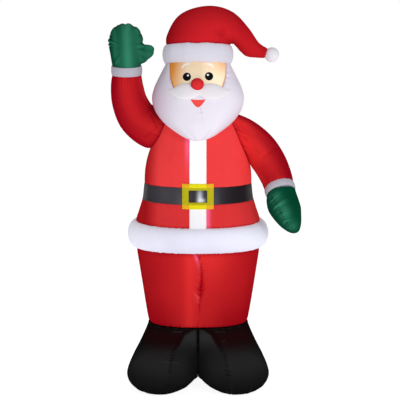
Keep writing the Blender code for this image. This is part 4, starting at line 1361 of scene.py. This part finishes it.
# ---------------------------------------------------------------------------------------------
# Stitching. Rows of plain stitches in matching thread, along the edges of the strip and the
# buckle, round the belt and the skirt beside their seams, and down both sides of the face.
# ---------------------------------------------------------------------------------------------
SPACING, STITCH, THREAD = 0.0065, 0.0044, 0.0010
pattern = bpy.data.node_groups.new("row_of_stitches", "GeometryNodeTree")
pattern.interface.new_socket("Lines", in_out="INPUT", socket_type="NodeSocketGeometry")
dials = []
for label, kind, value in (
    ("Spacing", "NodeSocketFloat", SPACING),
    ("Stitch length", "NodeSocketFloat", STITCH),
    ("Thread thickness", "NodeSocketFloat", THREAD),
    ("Seed", "NodeSocketInt", 7),
    ("Thread", "NodeSocketMaterial", None),
):
    socket = pattern.interface.new_socket(label, in_out="INPUT", socket_type=kind)
    if value is not None:
        socket.default_value = value
    dials.append(socket.identifier)
pattern.interface.new_socket("Stitches", in_out="OUTPUT", socket_type="NodeSocketGeometry")
given, made = pattern.nodes.new("NodeGroupInput"), pattern.nodes.new("NodeGroupOutput")
line = node(pattern, "GeometryNodeMeshToCurve", {0: given.outputs["Lines"]})
spaced = node(
    pattern, "GeometryNodeResampleCurve",
    {"Curve": line.outputs[0], "Length": given.outputs["Spacing"]}, mode="LENGTH",
)
heading = node(pattern, "GeometryNodeInputTangent")
turned = node(pattern, "FunctionNodeAlignRotationToVector", {"Vector": heading.outputs[0]}, axis="X")
chance = {"Seed": given.outputs["Seed"], 2: 0.85, 3: 1.1}
uneven = node(pattern, "FunctionNodeRandomValue", chance, data_type="FLOAT")
stitch = node(pattern, "GeometryNodeMeshUVSphere", {0: 6, 1: 4, 2: 0.5})
size = node(
    pattern,
    "ShaderNodeCombineXYZ",
    {
        0: given.outputs["Stitch length"], 1: given.outputs["Thread thickness"],
        2: given.outputs["Thread thickness"],
    },
)
shaped = node(pattern, "GeometryNodeTransform", {"Geometry": stitch.outputs[0], "Scale": size.outputs[0]})
rows_of = node(
    pattern,
    "GeometryNodeInstanceOnPoints",
    {
        "Points": spaced.outputs[0],
        "Instance": shaped.outputs[0],
        "Rotation": turned.outputs[0],
        "Scale": uneven.outputs[1],
    },
)
real = node(pattern, "GeometryNodeRealizeInstances", {0: rows_of.outputs[0]})
threaded = node(pattern, "GeometryNodeSetMaterial", {0: real.outputs[0], "Material": given.outputs["Thread"]})
pattern.links.new(threaded.outputs[0], made.inputs[0])


def stitched(name, lines, colour, seed):
    """Rows of stitches along lines of places, closed where a line's last place is its first."""
    thread = bpy.data.materials.new(name + "_thread")
    thread.use_nodes = True
    shader = thread.node_tree.nodes["Principled BSDF"]
    fed(thread.node_tree, shader, {"Base Color": (*colour, 1), "Roughness": 0.6, "Specular IOR Level": 0.2})
    places, edges = [], []
    for line in lines:
        start = len(places)
        places += (np.asarray(line) + MIDDLE).tolist()
        edges += [(i, i + 1) for i in range(start, len(places) - 1)]
    mesh = bpy.data.meshes.new(name + "_lines")
    mesh.from_pydata(places, edges, [])
    guide = linked(name + "_lines", mesh)
    laid = guide.modifiers.new("stitches", "NODES")
    laid.node_group = pattern
    for dial, value in zip(dials, (SPACING, STITCH, THREAD, seed, thread)):
        laid[dial] = value
    sewn_rows = finished(guide)
    bpy.data.objects.remove(guide, do_unlink=True)
    sewn_rows.shade_smooth()
    placed(name, sewn_rows, thread, None)


STRIP_STITCH_X = 0.0465
white_lines = []
for low, high in ((HEM_TOP, BELT_BOTTOM), (BELT_TOP, 1.64)):
    for x in (-STRIP_STITCH_X, STRIP_STITCH_X):
        white_lines.append(on_front(x, np.linspace(low + 0.004, high - 0.004, 60), 0.0045))
stitched("placket_stitches", white_lines, (0.80, 0.79, 0.85), 3)
yellow_lines = []
for bar in (0.005, BUCKLE_BAR - 0.005):
    x, z = square_about(BUCKLE_HALF_WIDTH - bar, BUCKLE_HALF_HEIGHT - bar)
    x, z = np.append(x, x[0]), np.append(z, z[0])
    yellow_lines.append(on_front(x, BUCKLE_LEVEL + z, 0.0097))
stitched("buckle_stitches", yellow_lines, (0.60, 0.50, 0.02), 4)


def ring_of(grid, row):
    """One row of a closed grid as a closed line of places."""
    return np.concatenate([grid[row], grid[row][:1]])


stitched("belt_stitches", [ring_of(band, 1), ring_of(band, -2)], (0.05, 0.048, 0.058), 5)
stitched("skirt_stitches", [ring_of(skirt, 2), ring_of(skirt, -2)], (0.40, 0.01, 0.015), 6)
stitched("face_stitches", [face[:, 3], face[:, -4]], (0.62, 0.34, 0.16), 8)

# ---------------------------------------------------------------------------------------------
# Floor, light and camera. A plain white floor, soft light from all round and above, and
# the photograph's own view, from a little above the figure's middle.
# ---------------------------------------------------------------------------------------------
ground = bpy.data.meshes.new("floor")
ground.from_pydata([(-14, -14, 0), (14, -14, 0), (14, 14, 0), (-14, 14, 0)], [], [(0, 1, 2, 3)])
floor = linked("floor", ground)
pale = bpy.data.materials.new("pale_floor")
pale.use_nodes = True
fed(
    pale.node_tree,
    pale.node_tree.nodes["Principled BSDF"],
    {
        "Base Color": (0.30, 0.30, 0.30, 1),
        "Roughness": 0.9,
        "Specular IOR Level": 0.1,
        "Emission Color": (1, 1, 1, 1),
        "Emission Strength": 0.92,
    },
)
ground.materials.append(pale)
floor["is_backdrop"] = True

ROOM_LIGHT = 0.46
world = bpy.data.worlds.new("studio")
world.use_nodes = True
seen = node(world.node_tree, "ShaderNodeLightPath").outputs["Is Camera Ray"]
backing = math_of(world.node_tree, "MULTIPLY_ADD", seen, 1.0 - ROOM_LIGHT, ROOM_LIGHT)
background = {"Color": (1.0, 1.0, 1.0, 1), "Strength": backing}
fed(world.node_tree, world.node_tree.nodes["Background"], background)
bpy.context.scene.world = world
for name, place, aim, size, power in (
    ("key", (2.2, -3.9, 2.9), (0, 0, 1.3), 1.2, 52),
    ("fill", (-2.0, -4.2, 2.0), (0, 0, 1.2), 2.2, 10),
    ("back", (0.6, 4.4, 2.8), (0, 0, 1.2), 2.6, 40),
):
    lamp = bpy.data.lights.new(name, "AREA")
    lamp.size, lamp.energy = size, power
    lit = linked(name, lamp)
    lit.location = Vector(place) + Vector(MIDDLE)
    lit.rotation_euler = (Vector(aim) - Vector(place)).to_track_quat("-Z", "Y").to_euler()

camera = bpy.data.cameras.new("camera")
camera.lens, camera.sensor_width = 59.4, 36.0
viewer = linked("camera", camera)
viewer.location = (MIDDLE[0] + 0.013, MIDDLE[1] - 4.312, 1.832)
viewer.rotation_euler = (math.radians(90 - 8.36), 0, 0)
bpy.context.scene.camera = viewer
bpy.context.scene.view_settings.view_transform = "Standard"

low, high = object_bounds()
